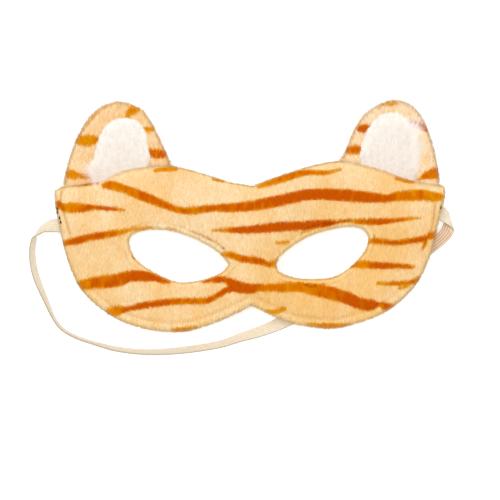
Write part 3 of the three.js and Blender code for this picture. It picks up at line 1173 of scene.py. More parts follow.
@dataclass
class Strands:
    """Fibres to be made, each of which starts at a root and sways further towards its tip.

    Attributes:
        roots: where each starts.
        normals: which way the skin faces there.
        headings: which way each goes.
        sway: how far each bends aside at its tip, for each metre of its length.
        lengths: how long each is.
        lift: how much the light that it takes is that of a fibre facing up.
    """

    roots: np.ndarray
    normals: np.ndarray
    headings: np.ndarray
    sway: np.ndarray
    lengths: np.ndarray
    lift: float = 0.3

    TAPER = 0.7
    TWIST = 0.3
    SKIN_LIGHT = 0.5
    HEADING_LIGHT = 0.25
    LOWEST = 0.05 * MM

    def build(self, name: str, width: float, segments: int, seed: int) -> bpy.types.Object:
        """Makes every fibre a thin three-sided spike in one mesh.

        Args:
            name: the piece's name.
            width: a fibre's width at its root, in metres.
            segments: how many straight stretches each fibre has.
            seed: picks how the spikes are turned.

        Returns:
            The piece, with the attribute along, from 0 at each root to 1 at each tip.
        """
        dice = np.random.default_rng(seed)
        count = len(self.roots)
        upper = self.normals * 0.5 + np.array((0, 0, 1))
        side = np.cross(self.headings, upper)
        side /= np.maximum(np.linalg.norm(side, axis=1, keepdims=True), TINY)
        side += self.normals * dice.normal(0, self.TWIST, (count, 1))
        side /= np.linalg.norm(side, axis=1, keepdims=True)
        side *= np.where(np.cross(side, self.headings)[:, 2:] < 0, -1.0, 1.0)
        under = -np.cross(side, self.headings)
        rings = []
        along = []
        for step in range(segments):
            share = step / segments
            middle = self.at(share)
            half = width / 2 * (1 - share**2 * self.TAPER)
            rings += [middle - side * half, middle + side * half, middle + under * half]
            along += [share] * 3
        rings.append(self.at(1.0))
        along.append(1.0)
        points = np.stack(rings, 1).reshape(-1, 3)
        points[:, 2] = np.maximum(points[:, 2], self.LOWEST)
        corners, sizes = self._faces(count, segments)
        piece = mesh_piece(name, points, corners, sizes)
        store(piece, "along", np.tile(np.array(along), count))
        smooth_shade(piece)
        soft = self.normals * self.SKIN_LIGHT + self.headings * self.HEADING_LIGHT
        soft += np.array((0, 0, self.lift))
        soft = np.repeat(soft / np.linalg.norm(soft, axis=1, keepdims=True), len(along), 0)
        piece.data.normals_split_custom_set_from_vertices(soft.tolist())
        # Real fibres let light through, so these cast no shadow on each other; their skin does
        piece.visible_shadow = False
        return piece

    @staticmethod
    def stride(segments: int) -> int:
        """Returns how many vertices each fibre has."""
        return 3 * segments + 1

    def at(self, share: float | np.ndarray) -> np.ndarray:
        """Returns the point at a share of each fibre's length."""
        reach = self.lengths[:, None]
        return self.roots + self.headings * reach * share + self.sway * reach * share**2

    @staticmethod
    def _faces(count: int, segments: int) -> tuple[np.ndarray, np.ndarray]:
        """Lists every spike's faces.

        Args:
            count: how many spikes there are.
            segments: how many straight stretches each has.

        Returns:
            The vertex numbers of the faces, one after another, and how many corners each face has.
        """
        spike = []
        sizes = []
        for step in range(segments):
            for k in range(3):
                a = 3 * step + k
                b = 3 * step + (k + 1) % 3
                closing = [3 * segments] if step == segments - 1 else [b + 3, a + 3]
                spike += [a, b, *closing]
                sizes.append(2 + len(closing))
        starts = np.arange(count)[:, None] * Strands.stride(segments)
        return (starts + np.array(spike)).ravel(), np.tile(np.array(sizes), count)


def scatter(piece: bpy.types.Object, density: float, seed: int) -> tuple[np.ndarray, np.ndarray]:
    """Picks random points on the part of a piece's skin that has its first material.

    Args:
        piece: the piece to grow from.
        density: points for each square metre.
        seed: picks the points.

    Returns:
        The points and the skin's normals there.
    """
    mesh = piece.data
    mesh.calc_loop_triangles()
    count = len(mesh.loop_triangles)
    corners = np.empty(count * 3, np.int64)
    mesh.loop_triangles.foreach_get("vertices", corners)
    owner = np.empty(count, np.int64)
    mesh.loop_triangles.foreach_get("polygon_index", owner)
    slot = np.empty(len(mesh.polygons), np.int64)
    mesh.polygons.foreach_get("material_index", slot)
    corners = corners.reshape(-1, 3)[slot[owner] == 0]
    points = read_points(piece)
    normals = read_normals(piece)
    a, b, c = (points[corners[:, k]] for k in range(3))
    area = np.linalg.norm(np.cross(b - a, c - a), axis=1) / 2
    dice = np.random.default_rng(seed)
    total = int(area.sum() * density)
    pick = dice.choice(len(corners), total, p=area / area.sum())
    u, v = dice.random((2, total))
    fold = u + v > 1
    u[fold] = 1 - u[fold]
    v[fold] = 1 - v[fold]
    weights = np.stack((1 - u - v, u, v), 1)[..., None]
    where = (points[corners[pick]] * weights).sum(1)
    facing = (normals[corners[pick]] * weights).sum(1)
    return where, facing / np.linalg.norm(facing, axis=1, keepdims=True)


@dataclass
class Pile:
    """The short pile of a piece of plush."""

    length: float = 1.7 * MM
    width: float = 0.35 * MM
    density: float = 5.2e6
    lean: float = 0.75
    unruly: float = 0.28
    evenness: Range = (0.7, 1.15)
    side_length: float = 0.5
    sway: float = 0.35
    sink: float = 0.1 * MM
    seam_gap: float = 0.3 * MM
    print_share: Range = (0.4, 0.7)
    grain: float = 0.06
    root_light: float = 0.88
    tip_light: float = 1.06
    nap: Nap = Nap.DOWN

    def grow(self, skin: bpy.types.Object, host: "PlushPiece") -> bpy.types.Object:
        """Grows the pile on the plush faces of a piece.

        Args:
            skin: the mesh that carries it, whose plush is its first material slot.
            host: the piece of plush, which says how light and how long the pile is at each place.

        Returns:
            The pile as a piece of its own.
        """
        dice = np.random.default_rng(host.seed)
        roots, normals = scatter(skin, self.density, host.seed)
        clear = host.seams(roots) > self.seam_gap
        roots, normals = roots[clear], normals[clear]
        count = len(roots)
        brushed = np.array((*self.nap.value, 0.0)) + dice.normal(0, self.unruly, (count, 3))
        brushed += host.combed(roots)
        brushed -= normals * (brushed * normals).sum(1, keepdims=True)
        headings = normals + brushed * self.lean
        headings /= np.linalg.norm(headings, axis=1, keepdims=True)
        lengths = self.length * dice.uniform(*self.evenness, count) * host.growth(roots)
        lengths *= self.side_length + (1 - self.side_length) * np.clip(normals[:, 2] / 0.5, 0, 1)
        strands = Strands(roots - normals * self.sink, normals, headings, brushed * self.sway, lengths)
        pile = strands.build(skin.name + "_pile", self.width, 1, host.seed + 1)
        printed = strands.at(dice.uniform(*self.print_share, (count, 1)))
        depth, tone = host.printed.measure(printed)
        light = host.light(printed)
        stride = strands.stride(1)
        store(pile, "stripe", np.repeat(depth, stride))
        store(pile, "tone", np.repeat(tone, stride))
        # Near the rims the pile takes the greyer ground colour: partly bare woven ground, partly painted
        # edge shade
        store(pile, "rim", np.repeat(host.bareness_and_shade(printed), stride))
        levels = np.array([self.root_light] * (stride - 1) + [self.tip_light])
        shade = (light * dice.normal(1.0, self.grain, count))[:, None] * levels
        store(pile, "shade", shade.ravel())
        pile.data.materials.append(skin.data.materials[0])
        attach(pile, BODY)
        return pile


# The pieces of the mask


@dataclass
class PlushPiece:
    """A padded piece of printed plush that takes the place of one solid."""

    node: str
    name: str
    stripes: tuple[Stripe, ...]
    plush: bpy.types.Material
    lining: bpy.types.Material
    seed: int
    voxel: float = 1.5 * MM
    pressure: float = 4.0
    cap: float = 0.6 * MM
    sewn_rim: float = 1.6 * MM
    sewn_seam: float = 0.8 * MM
    seam_shade: float = 0.28
    seam_reach: float = 1.2 * MM
    pile_room: float = 0.75 * MM
    rim_room: float = 0.4 * MM
    # Shares of the greyer rim colour on outlines, hole rims and upright skin: partly bare woven ground,
    # partly painted shade
    rim_bareness_and_shade: float = 1.3
    hole_bareness_and_shade: float = 0.6
    skin_bareness_and_shade: float = 0.45
    skin_light: float = 0.42
    skin_gain: float = 0.44
    bare_and_shade_reach: float = 0.75 * MM
    swell: float = 0.12 * MM
    swell_pitch: float = 14 * MM
    fill: float = 0.45
    pile: Pile = field(default_factory=Pile)
    rims: RimMap = field(init=False)
    printed: StripePrint = field(init=False)

    # How far a face or a vertex is turned up: 1 straight up, 0 upright and -1 straight down
    FRONT = 0.3
    BACK = -0.3
    LINED = -0.45
    SIDE = 0.35

    def build(self) -> list[bpy.types.Object]:
        """Makes the padded skin and its pile.

        Returns:
            The skin and the pile.
        """
        skin = copy_of_node(self.node, self.name)
        self.rims = RimMap(skin)
        self.printed = StripePrint(self.stripes)
        remesh(skin, self.voxel, self.node)
        self._puff(skin)
        subdivide(skin, 1)
        self._shape(skin)
        self._dress(skin)
        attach(skin, BODY)
        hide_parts(self.node)
        return [skin, self.pile.grow(skin, self)]

    def seams(self, plan: np.ndarray) -> np.ndarray:
        """Returns each plan point's distance from the nearest sewn line, in metres."""
        return np.full(len(plan), FAR)

    def light(self, plan: np.ndarray) -> np.ndarray:
        """Returns how light the pile is at each plan point, dimmer beside a seam."""
        return 1 - self.seam_shade * (1 - np.clip(self.seams(plan) / self.seam_reach, 0, 1))

    def growth(self, plan: np.ndarray) -> np.ndarray:
        """Returns how many times its usual length the pile has at each plan point."""
        return np.ones(len(plan))

    def combed(self, plan: np.ndarray) -> np.ndarray:
        """Returns the direction that the pile is pushed in at each plan point, on top of its nap."""
        return np.zeros((len(plan), 3))

    def bareness_and_shade(self, plan: np.ndarray) -> np.ndarray:
        """Returns the share of greyer ground and painted edge shade at each plan point, 1 right on a rim.
        """
        hole = self.hole_bareness_and_shade * self._fade(self.rims.holes(plan))
        return np.maximum(hole, self._fade(self.rims.outer(plan)))

    def _fade(self, edge: np.ndarray) -> np.ndarray:
        """Returns 1 on an edge, falling to 0 at the reach of bare ground and painted edge shade."""
        return np.clip(self.rim_bareness_and_shade - edge / self.bare_and_shade_reach, 0, 1)

    def _puff(self, skin: bpy.types.Object) -> None:
        """Blows the front up between the rims and seams, with the back and the rims held.

        Args:
            skin: the piece's skin.
        """
        points = read_points(skin)
        edge = np.minimum(self.rims.outer(points), self.rims.holes(points))
        sewn = (edge < self.sewn_rim) | (self.seams(points) < self.sewn_seam)
        puff(skin, sewn | (read_normals(skin)[:, 2] < self.FRONT), self.pressure, self.cap)

    def _shape(self, skin: bpy.types.Object) -> None:
        """Draws the plush in by the depth of its pile and presses its seams in.

        Args:
            skin: the piece's skin.
        """
        points = read_points(skin)
        normals = read_normals(skin)
        up = np.clip(normals[:, 2], 0, 1)
        front = np.clip((normals[:, 2] + self.SIDE) / self.SIDE, 0, 1)
        room = self.rim_room + (self.pile_room - self.rim_room) * up
        points -= normals * (room * front)[:, None]
        points[:, 2] += up * self._relief(points)
        write_points(skin, points)

    def _relief(self, points: np.ndarray) -> np.ndarray:
        """Returns how far each point of the front is raised, in metres."""
        return self.swell * rumple(points, self.swell_pitch, self.seed)

    def _dress(self, skin: bpy.types.Object) -> None:
        """Gives the skin its materials and the numbers that they read.

        Args:
            skin: the piece's skin.
        """
        skin.data.materials.clear()
        skin.data.materials.append(self.plush)
        skin.data.materials.append(self.lining)
        facing = np.empty(len(skin.data.polygons) * 3)
        skin.data.polygons.foreach_get("normal", facing)
        inside = facing.reshape(-1, 3)[:, 2] < self.LINED
        skin.data.polygons.foreach_set("material_index", inside.astype(np.int32))
        smooth_shade(skin)
        points = read_points(skin)
        upright = read_normals(skin)[:, 2]
        depth, tone = self.printed.measure(points)
        store(skin, "stripe", np.where(upright < self.BACK, -StripePrint.DEEPEST, depth))
        store(skin, "tone", tone)
        # Painted shade: upright and downward-facing skin takes more of the greyer ground colour
        store(skin, "rim", self.skin_bareness_and_shade * np.clip((0.5 - upright) / 0.4, 0, 1))
        seam = np.clip(self.seams(points) / self.sewn_seam, 0, 1)
        store(skin, "shade", self.skin_light + self.skin_gain * seam)


@dataclass
class MaskPanel(PlushPiece):
    """The face of the mask, with stitched eye rims, turned-in ends and a raised lower edge."""

    rim_room: float = 0.05 * MM
    swell: float = 0.2 * MM
    swell_pitch: float = 22 * MM
    eye_stitch: float = 2.6 * MM
    stitch_depth: float = 0.55 * MM
    stitch_width: float = 0.6 * MM
    chin_stitch: float = 4.4 * MM
    chin_hem: float = 2.6 * MM
    chin_top: float = -34 * MM
    chin_fade: float = 8 * MM
    chin_depth: float = 0.65
    seam_depth: float = 1.3
    hem_light: float = 0.13
    eye_hem_width: float = 0.8
    chin_hem_width: float = 1.1
    eye_shade: float = 0.14
    eye_shade_width: float = 0.4
    chin_shade: float = 0.16
    chin_shade_width: float = 0.8
    thread_shade: float = 0.7
    thread_width: float = 0.45
    darkest: float = 0.25
    pucker: float = 0.35
    pucker_pitch: float = 5 * MM
    ear_spans: tuple[Range, ...] = ((-90, -40), (46, 92))
    ear_foot: float = 10 * MM
    ear_cover: float = 0.9
    ear_growth: float = 0.5
    ear_comb: Triple = (0.0, 2.4, 1.6)
    ear_reach: float = 1.7 * MM

    def bareness_and_shade(self, plan: np.ndarray) -> np.ndarray:
        """Returns the share of greyer ground and painted edge shade, with almost none where an ear is sewn
        behind.
        """
        return super().bareness_and_shade(plan) * (1 - self.ear_cover * self._by_ear(plan))

    def growth(self, plan: np.ndarray) -> np.ndarray:
        """Returns how many times its usual length the pile has, more along the foot of an ear."""
        return 1 + self.ear_growth * self._by_ear(plan)

    def combed(self, plan: np.ndarray) -> np.ndarray:
        """Returns the push on the pile, which is up and over the foot of each ear."""
        return self._by_ear(plan)[:, None] * np.array(self.ear_comb)

    def _by_ear(self, plan: np.ndarray) -> np.ndarray:
        """Finds the upper edge where an ear is sewn behind.

        Args:
            plan: one row of x and y for each point, in metres.

        Returns:
            1 on that edge, falling to 0 away from it.
        """
        near = np.exp(-((self.rims.outer(plan) / self.ear_reach) ** 2))
        behind = np.zeros(len(plan), bool)
        for low, high in self.ear_spans:
            behind |= (plan[:, 0] > low * MM) & (plan[:, 0] < high * MM) & (plan[:, 1] > self.ear_foot)
        return near * behind

    def seams(self, plan: np.ndarray) -> np.ndarray:
        """Returns the distance from the seams at the two ends, in metres."""
        return np.minimum(distance_to_line(plan, SEAM_LEFT), distance_to_line(plan, SEAM_RIGHT))

    def light(self, plan: np.ndarray) -> np.ndarray:
        """Dims the pile along seams and stitched lines, and makes it paler on the hems.

        Args:
            plan: one row of x and y for each point, in metres.

        Returns:
            How light the pile is at each point.
        """
        eye = self.rims.holes(plan)
        outer = self.rims.outer(plan)
        low = self._low(plan)
        broken = np.clip(0.5 + 1.2 * rumple(plan, 6 * MM, self.seed + 9), 0, 1)
        hem = self._near(eye - 0.5 * self.eye_stitch, self.eye_hem_width)
        hem += low * self._near(outer - self.chin_hem, self.chin_hem_width)
        dips = self.eye_shade * broken * self._near(eye - self.eye_stitch, self.eye_shade_width)
        dips += self.chin_shade * low * self._near(outer - self.chin_stitch, self.chin_shade_width)
        for line in EYE_STITCHES:
            dips += self.thread_shade * self._near(distance_to_line(plan, line), self.thread_width)
        return super().light(plan) * np.maximum(1 + self.hem_light * hem - dips, self.darkest)

    def _low(self, plan: np.ndarray) -> np.ndarray:
        """Returns 1 for plan points on the cheeks and chin, and 0 above them."""
        return np.clip((self.chin_top - plan[:, 1]) / self.chin_fade, 0, 1)

    @staticmethod
    def _near(distance: np.ndarray, width: float) -> np.ndarray:
        """Returns 1 on a line, falling to 0 over about a width in millimetres."""
        return np.exp(-((distance / (width * MM)) ** 2))

    def _relief(self, points: np.ndarray) -> np.ndarray:
        """Raises the front in swells and presses its stitched lines and seams in.

        Args:
            points: one row of x, y and z for each point, in metres.

        Returns:
            How far each point is raised, in metres.
        """
        wide = self.stitch_width / MM
        pucker = 1 + self.pucker * rumple(points, self.pucker_pitch, self.seed + 5)
        by_eye = self._near(self.rims.holes(points) - self.eye_stitch, wide)
        by_chin = self._low(points) * self._near(self.rims.outer(points) - self.chin_stitch, wide)
        by_seam = self._near(self.seams(points), wide)
        grooves = pucker * (by_eye + self.chin_depth * by_chin) + self.seam_depth * by_seam
        return super()._relief(points) - self.stitch_depth * grooves


@dataclass
class Ear(PlushPiece):
    """An ear, whose pile is longer where it comes out from behind the brow."""

    brow: RimMap = field(kw_only=True)
    brow_growth: float = 1.0
    brow_comb: float = 1.8
    brow_reach: float = 1.8 * MM

    def growth(self, plan: np.ndarray) -> np.ndarray:
        """Returns how many times its usual length the pile has at each plan point."""
        return 1 + self.brow_growth * self._at_brow(plan)

    def combed(self, plan: np.ndarray) -> np.ndarray:
        """Returns the direction that the pile is pushed in, down over the brow where it is near."""
        return self._at_brow(plan)[:, None] * np.array((0.0, -self.brow_comb, 0.0))

    def _at_brow(self, plan: np.ndarray) -> np.ndarray:
        """Returns 1 for plan points on the edge of the brow, falling to 0 away from it."""
        return np.exp(-((self.brow.outer(plan) / self.brow_reach) ** 2))


@dataclass(frozen=True)
class Spill:
    """A place where the fur is longer and falls over the plush beside it, in millimetres.

    Attributes:
        x: where its middle is.
        y: the same, upwards.
        reach: how far from its middle the fur is longer.
        extra: how much longer it is at most.
    """

    x: float
    y: float
    reach: float
    extra: float


@dataclass
class EarFur:
    """The long white fur in the front of one ear."""

    node: str
    name: str
    fur: bpy.types.Material
    brow: RimMap
    spills: tuple[Spill, ...]
    seed: int
    voxel: float = 1.2 * MM
    density: float = 13e6
    width: float = 0.17 * MM
    segments: int = 2
    shortest: float = 1.3 * MM
    longest: float = 4.2 * MM
    evenness: Range = (0.7, 1.15)
    slope: float = 0.5
    tufts: float = 0.15
    tuft_pitch: float = 4 * MM
    wander: float = 0.25
    fan: float = 0.9
    upright_reach: float = 3.5 * MM
    lift: float = 0.8
    grain: float = 0.06
    backing_along: float = 0.6
    backing_shade: float = 0.95
    inset: float = 0.7 * MM
    skirt: float = 0.7 * MM
    drop: float = 1.6 * MM
    brow_reach: float = 3.6 * MM
    edge_lift: float = 0.42

    def build(self) -> list[bpy.types.Object]:
        """Makes the fur's backing and its hair.

        Returns:
            The backing and the hair.
        """
        backing = copy_of_node(self.node, self.name)
        rims = RimMap(backing)
        remesh(backing, self.voxel, self.node)
        points = read_points(backing)
        normals = read_normals(backing)
        points -= normals * (self.inset * np.clip(normals[:, 2] + 0.6, 0, 1))[:, None]
        points[:, 2] -= self.skirt * np.clip(-normals[:, 2], 0, 1)
        points[:, 1] -= self.drop * self._at_brow(points)
        write_points(backing, points)
        smooth_shade(backing)
        store(backing, "along", np.full(len(points), self.backing_along))
        store(backing, "shade", np.full(len(points), self.backing_shade))
        backing.data.materials.clear()
        backing.data.materials.append(self.fur)
        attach(backing, BODY)
        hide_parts(self.node)
        return [backing, self._hair(backing, rims)]

    def _at_brow(self, plan: np.ndarray) -> np.ndarray:
        """Returns 1 for plan points beside the edge of the brow, falling to 0 away from it."""
        share = np.clip(1.5 - self.brow.outer(plan) / self.brow_reach, 0, 1)
        return share * share * (3 - 2 * share)

    def _hair(self, backing: bpy.types.Object, rims: RimMap) -> bpy.types.Object:
        """Grows hair that stands up the ear, fans out a little, and falls over the brow at its foot.

        Args:
            backing: the mesh that carries it.
            rims: the outline of the fur.

        Returns:
            The hair as a piece of its own.
        """
        dice = np.random.default_rng(self.seed)
        roots, normals = scatter(backing, self.density, self.seed)
        keep = normals[:, 2] > -0.1
        roots, normals = roots[keep], normals[keep]
        count = len(roots)
        low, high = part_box(self.node)
        sideways = (roots[:, 0] - (low.x + high.x) / 2) / ((high.x - low.x) / 2)
        angle = dice.normal(0, self.wander, count) + 0.3 * rumple(roots, 9 * MM, self.seed)
        angle -= sideways * self.fan
        across = -np.sin(angle)
        upward = np.cos(angle)
        inside = np.clip(rims.outer(roots) / self.upright_reach, 0, 1)
        steep = self.edge_lift + 0.35 * inside + dice.uniform(-self.wander, self.wander, count)
        headings = np.stack((across, upward, steep), 1)
        headings /= np.linalg.norm(headings, axis=1, keepdims=True)
        sway = np.stack((across * 0.1, upward * 0.1, -steep * 0.8), 1)
        falling = self._at_brow(roots)[:, None]
        aside = dice.normal(0, 0.3, count)
        fall = np.stack((aside, np.full(count, -0.75), dice.uniform(0.4, 0.8, count)), 1)
        headings = headings * (1 - falling) + fall * falling
        headings /= np.linalg.norm(headings, axis=1, keepdims=True)
        sway *= 1 - 0.7 * falling
        strands = Strands(roots, normals, headings, sway, self._lengths(roots, rims, dice), self.lift)
        hair = strands.build(self.name + "_hair", self.width, self.segments, self.seed + 1)
        height = np.clip((roots[:, 1] - low.y) / (high.y - low.y), 0, 1)
        along = read_number(hair, "along").reshape(count, -1)
        # Painted shade: hairs take more of the darker root colour towards their roots and towards the foot
        # of the ear
        whiter = (0.45 + 0.55 * np.sqrt(height))[:, None] * (0.35 + 0.65 * along)
        hair.data.attributes.remove(hair.data.attributes["along"])
        store(hair, "along", whiter.ravel())
        tufts = 0.035 * rumple(roots * (1, 0.35, 1), 2.2 * MM, self.seed + 7)
        lit = dice.normal(0.98, self.grain, count) + tufts
        store(hair, "shade", np.repeat(lit, along.shape[1]))
        hair.data.materials.append(self.fur)
        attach(hair, BODY)
        return hair

    def _lengths(self, roots: np.ndarray, rims: RimMap, dice: np.random.Generator) -> np.ndarray:
        """Makes the hairs short at the edge, and long inside and where they spill over.

        Args:
            roots: where each hair starts.
            rims: the outline of the fur.
            dice: gives the random part.

        Returns:
            Each hair's length in metres.
        """
        edge = rims.outer(roots)
        tufts = 1 + self.tufts * rumple(roots, self.tuft_pitch, self.seed + 3)
        lengths = np.minimum(self.shortest + edge * self.slope, self.longest) * tufts
        lengths *= dice.uniform(*self.evenness, len(roots))
        for spill in self.spills:
            gap = np.hypot(roots[:, 0] - spill.x * MM, roots[:, 1] - spill.y * MM)
            near = np.exp(-((gap / (spill.reach * MM)) ** 2))
            lengths += near * spill.extra * MM * dice.uniform(0, 1, len(roots)) ** 3
        return lengths


@dataclass
class ElasticBand:
    """The flat elastic that is sewn behind both ends of the mask, with painted shade on the stretch that
    runs in under its fold.
    """

    elastic: bpy.types.Material
    width: float = 6.3 * MM
    thickness: float = 0.9 * MM
    ribs: int = 5
    rib_depth: float = 0.12 * MM
    fold_radius: float = 1.5 * MM
    fold_rise: float = 0.12
    # Painted shade on the stretch that runs in under the folded-back end: where it starts, fades in and
    # stops
    under_fold_reach: float = 24 * MM
    under_fold_fade: float = 6 * MM
    under_fold_end: float = 0.5 * MM
    edge_power: int = 14
    edge_least: float = 0.15
    rib_power: float = 0.7
    # Where the greyer edge starts across the band: partly selvage colour, partly painted edge shadow
    selvage_and_shadow: float = 0.86
    selvage_fade: float = 0.1
    rings: int = 480
    across: int = 51
    route_steps: int = 24
    path_stride: int = 4
    lowest: float = 0.02 * MM

    def build(self) -> bpy.types.Object:
        """Returns:
            The band.
        """
        middles, widths, thicks, run = self._frames()
        section, looks = self._section()
        rings = middles[:, None] + widths[:, None] * section[:, :1] + thicks[:, None] * section[:, 1:]
        flat = rings.reshape(-1, 3)
        points = self._fold(flat)
        points[:, 2] = np.maximum(points[:, 2], self.lowest)
        around = len(section)
        corners, sizes = self._faces(around)
        band = mesh_piece("elastic_band_woven", points, corners, sizes)
        smooth_shade(band)
        for name, values in looks.items():
            store(band, name, np.tile(values, self.rings))
        store(band, "run", np.repeat(run, around))
        past = self._past_fold(flat)
        # Painted shade: the stretch that runs in under the fold is darker and browner
        under_fold_shade = np.clip((past + self.under_fold_reach) / self.under_fold_fade, 0, 1)
        store(band, "under_fold_shade", under_fold_shade * (past < self.under_fold_end))
        band.data.materials.append(self.elastic)
        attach(band, BODY)
        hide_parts("elastic_band")
        path = self._fold(middles)[:: self.path_stride]
        return band

    def _section(self) -> tuple[np.ndarray, dict[str, np.ndarray]]:
        """Draws the band's section, which is ribbed on both faces.

        Returns:
            Its points, across and through, and what the finish reads at each.
        """
        share = np.linspace(-1, 1, self.across)
        wave = np.abs(np.sin((share + 1) / 2 * math.pi * self.ribs))
        edge = np.sqrt(np.clip(1 - np.abs(share) ** self.edge_power, 0, 1))
        half = (self.thickness / 2 - self.rib_depth * (1 - wave)) * np.maximum(edge, self.edge_least)
        top = np.stack((share * self.width / 2, half), 1)
        bottom = np.stack((share * self.width / 2, -half), 1)[::-1]
        # Painted shade: the finish darkens the furrows between the ribs by this value
        rib = np.concatenate((wave, wave[::-1])) ** self.rib_power
        # Greyer edges, partly the selvage's own colour and partly painted edge shadow
        selvage_and_shadow = np.clip((np.abs(share) - self.selvage_and_shadow) / self.selvage_fade, 0, 1)
        looks = {"rib": rib, "selvage_and_shadow": np.concatenate((selvage_and_shadow, selvage_and_shadow[::-1]))}
        return np.vstack((top, bottom)), looks

    def _past_fold(self, points: np.ndarray) -> np.ndarray:
        """Measures points against the fold line.

        Args:
            points: one row for each point, in metres.

        Returns:
            How far each lies past the line in plan, negative before it.
        """
        angle = math.radians(FOLD_ANGLE)
        return self._from_fold(points) @ np.array((math.sin(angle), -math.cos(angle)))

    @staticmethod
    def _from_fold(points: np.ndarray) -> np.ndarray:
        """Returns where points lie in plan, seen from the middle of the fold."""
        return points[:, :2] - (np.array(FOLD) - ROUTE_CENTRE) * MM

    def _fold(self, points: np.ndarray) -> np.ndarray:
        """Rolls whatever lies past the fold line up and back over the rest, without stretching it.

        Args:
            points: one row for each point of the unfolded band, in metres.

        Returns:
            The points of the folded band.
        """
        angle = math.radians(FOLD_ANGLE)
        axis = np.array((math.cos(angle), math.sin(angle)))
        outward = np.array((axis[1], -axis[0]))
        past = self._past_fold(points)
        along = self._from_fold(points) @ axis
        height = points[:, 2] - self.thickness / 2
        turn = np.clip(past / self.fold_radius, 0, math.pi)
        back = np.maximum(past - math.pi * self.fold_radius, 0)
        reach = np.minimum(past, 0) + (self.fold_radius - height) * np.sin(turn) - back
        flat = reach[:, None] * outward + along[:, None] * axis
        folded = points.copy()
        folded[:, :2] = flat + (np.array(FOLD) - ROUTE_CENTRE) * MM
        rolled = self.thickness / 2 + self.fold_radius - (self.fold_radius - height) * np.cos(turn)
        folded[:, 2] = np.where(past > 0, rolled + back * self.fold_rise, points[:, 2])
        return folded

    def _faces(self, around: int) -> tuple[np.ndarray, np.ndarray]:
        """Lists the faces of the band's skin and of its two ends.

        Args:
            around: how many points each ring has.

        Returns:
            The vertex numbers of the faces, one after another, and how many corners each face has.
        """
        ring = np.arange(self.rings - 1)[:, None] * around
        here = np.arange(around)
        then = (here + 1) % around
        quads = np.stack((ring + here, ring + then, ring + around + then, ring + around + here), 2)
        start = here[::-1]
        end = (self.rings - 1) * around + here
        corners = np.concatenate((quads.ravel(), start, end))
        sizes = np.concatenate((np.full(quads.shape[0] * quads.shape[1], 4), (around, around)))
        return corners, sizes

    def _frames(self) -> tuple[np.ndarray, np.ndarray, np.ndarray, np.ndarray]:
        """Sets the rings out evenly along the route.

        Returns:
            The rings' middles, their directions across and through, and the length of band up to each.
        """
        rows = np.array(BAND_ROUTE, float)
        angle = np.radians(rows[:, 3])
        rise = (self.width * np.abs(np.sin(angle)) + self.thickness * np.abs(np.cos(angle))) / 2
        flat = (rows[:, :2] - ROUTE_CENTRE) * MM
        knots = np.column_stack((flat, rows[:, 2] * MM + rise))
        line = centripetal(knots, self.route_steps)
        turns = smooth_line(rows[:, 3:], self.route_steps)
        steps = np.linalg.norm(np.diff(line, axis=0), axis=1)
        run = np.concatenate(([0], np.cumsum(steps)))
        even = np.linspace(0, run[-1], self.rings)
        middles = np.stack([np.interp(even, run, line[:, k]) for k in range(3)], 1)
        tilt = np.radians(np.interp(even, run, turns[:, 0]))
        heading = np.gradient(middles, axis=0)
        heading /= np.linalg.norm(heading, axis=1, keepdims=True)
        side = np.stack((-heading[:, 1], heading[:, 0], np.zeros(self.rings)), 1)
        side /= np.linalg.norm(side, axis=1, keepdims=True)
        widths = turned(side, heading, tilt)
        thicks = np.cross(heading, widths)
        thicks /= np.linalg.norm(thicks, axis=1, keepdims=True)
        return middles, widths, thicks, even


def turned(rows: np.ndarray, axes: np.ndarray, angles: np.ndarray) -> np.ndarray:
    """Turns each row about its own axis.

    Args:
        rows: the rows of x, y and z.
        axes: one axis of length 1 for each.
        angles: one angle for each, in radians.

    Returns:
        The turned rows.
    """
    cos = np.cos(angles)[:, None]
    sin = np.sin(angles)[:, None]
    along = (rows * axes).sum(1, keepdims=True)
    return rows * cos + np.cross(axes, rows) * sin + axes * along * (1 - cos)


def centripetal(knots: np.ndarray, steps: int) -> np.ndarray:
    """Draws the same smooth curve through a cord's knots as the solids follow.

    Args:
        knots: one row of x, y and z for each knot.
        steps: how many points to draw for each stretch.

    Returns:
        One row for each point on the curve.
    """
    padded = np.vstack((2 * knots[0] - knots[1], knots, 2 * knots[-1] - knots[-2]))
    share = np.linspace(0, 1, steps, endpoint=False)[:, None]
    rows = []
    for a, b, c, d in zip(padded, padded[1:], padded[2:], padded[3:]):
        gaps = [max(math.sqrt(math.dist(p, q)), TINY) for p, q in ((a, b), (b, c), (c, d))]
        first = ((b - a) / gaps[0] - (c - a) / (gaps[0] + gaps[1]) + (c - b) / gaps[1]) * gaps[1]
        last = ((c - b) / gaps[1] - (d - b) / (gaps[1] + gaps[2]) + (d - c) / gaps[2]) * gaps[1]
        rows.append(stretch(b, c, first, last, share))
    rows.append(knots[-1:])
    return np.vstack(rows)


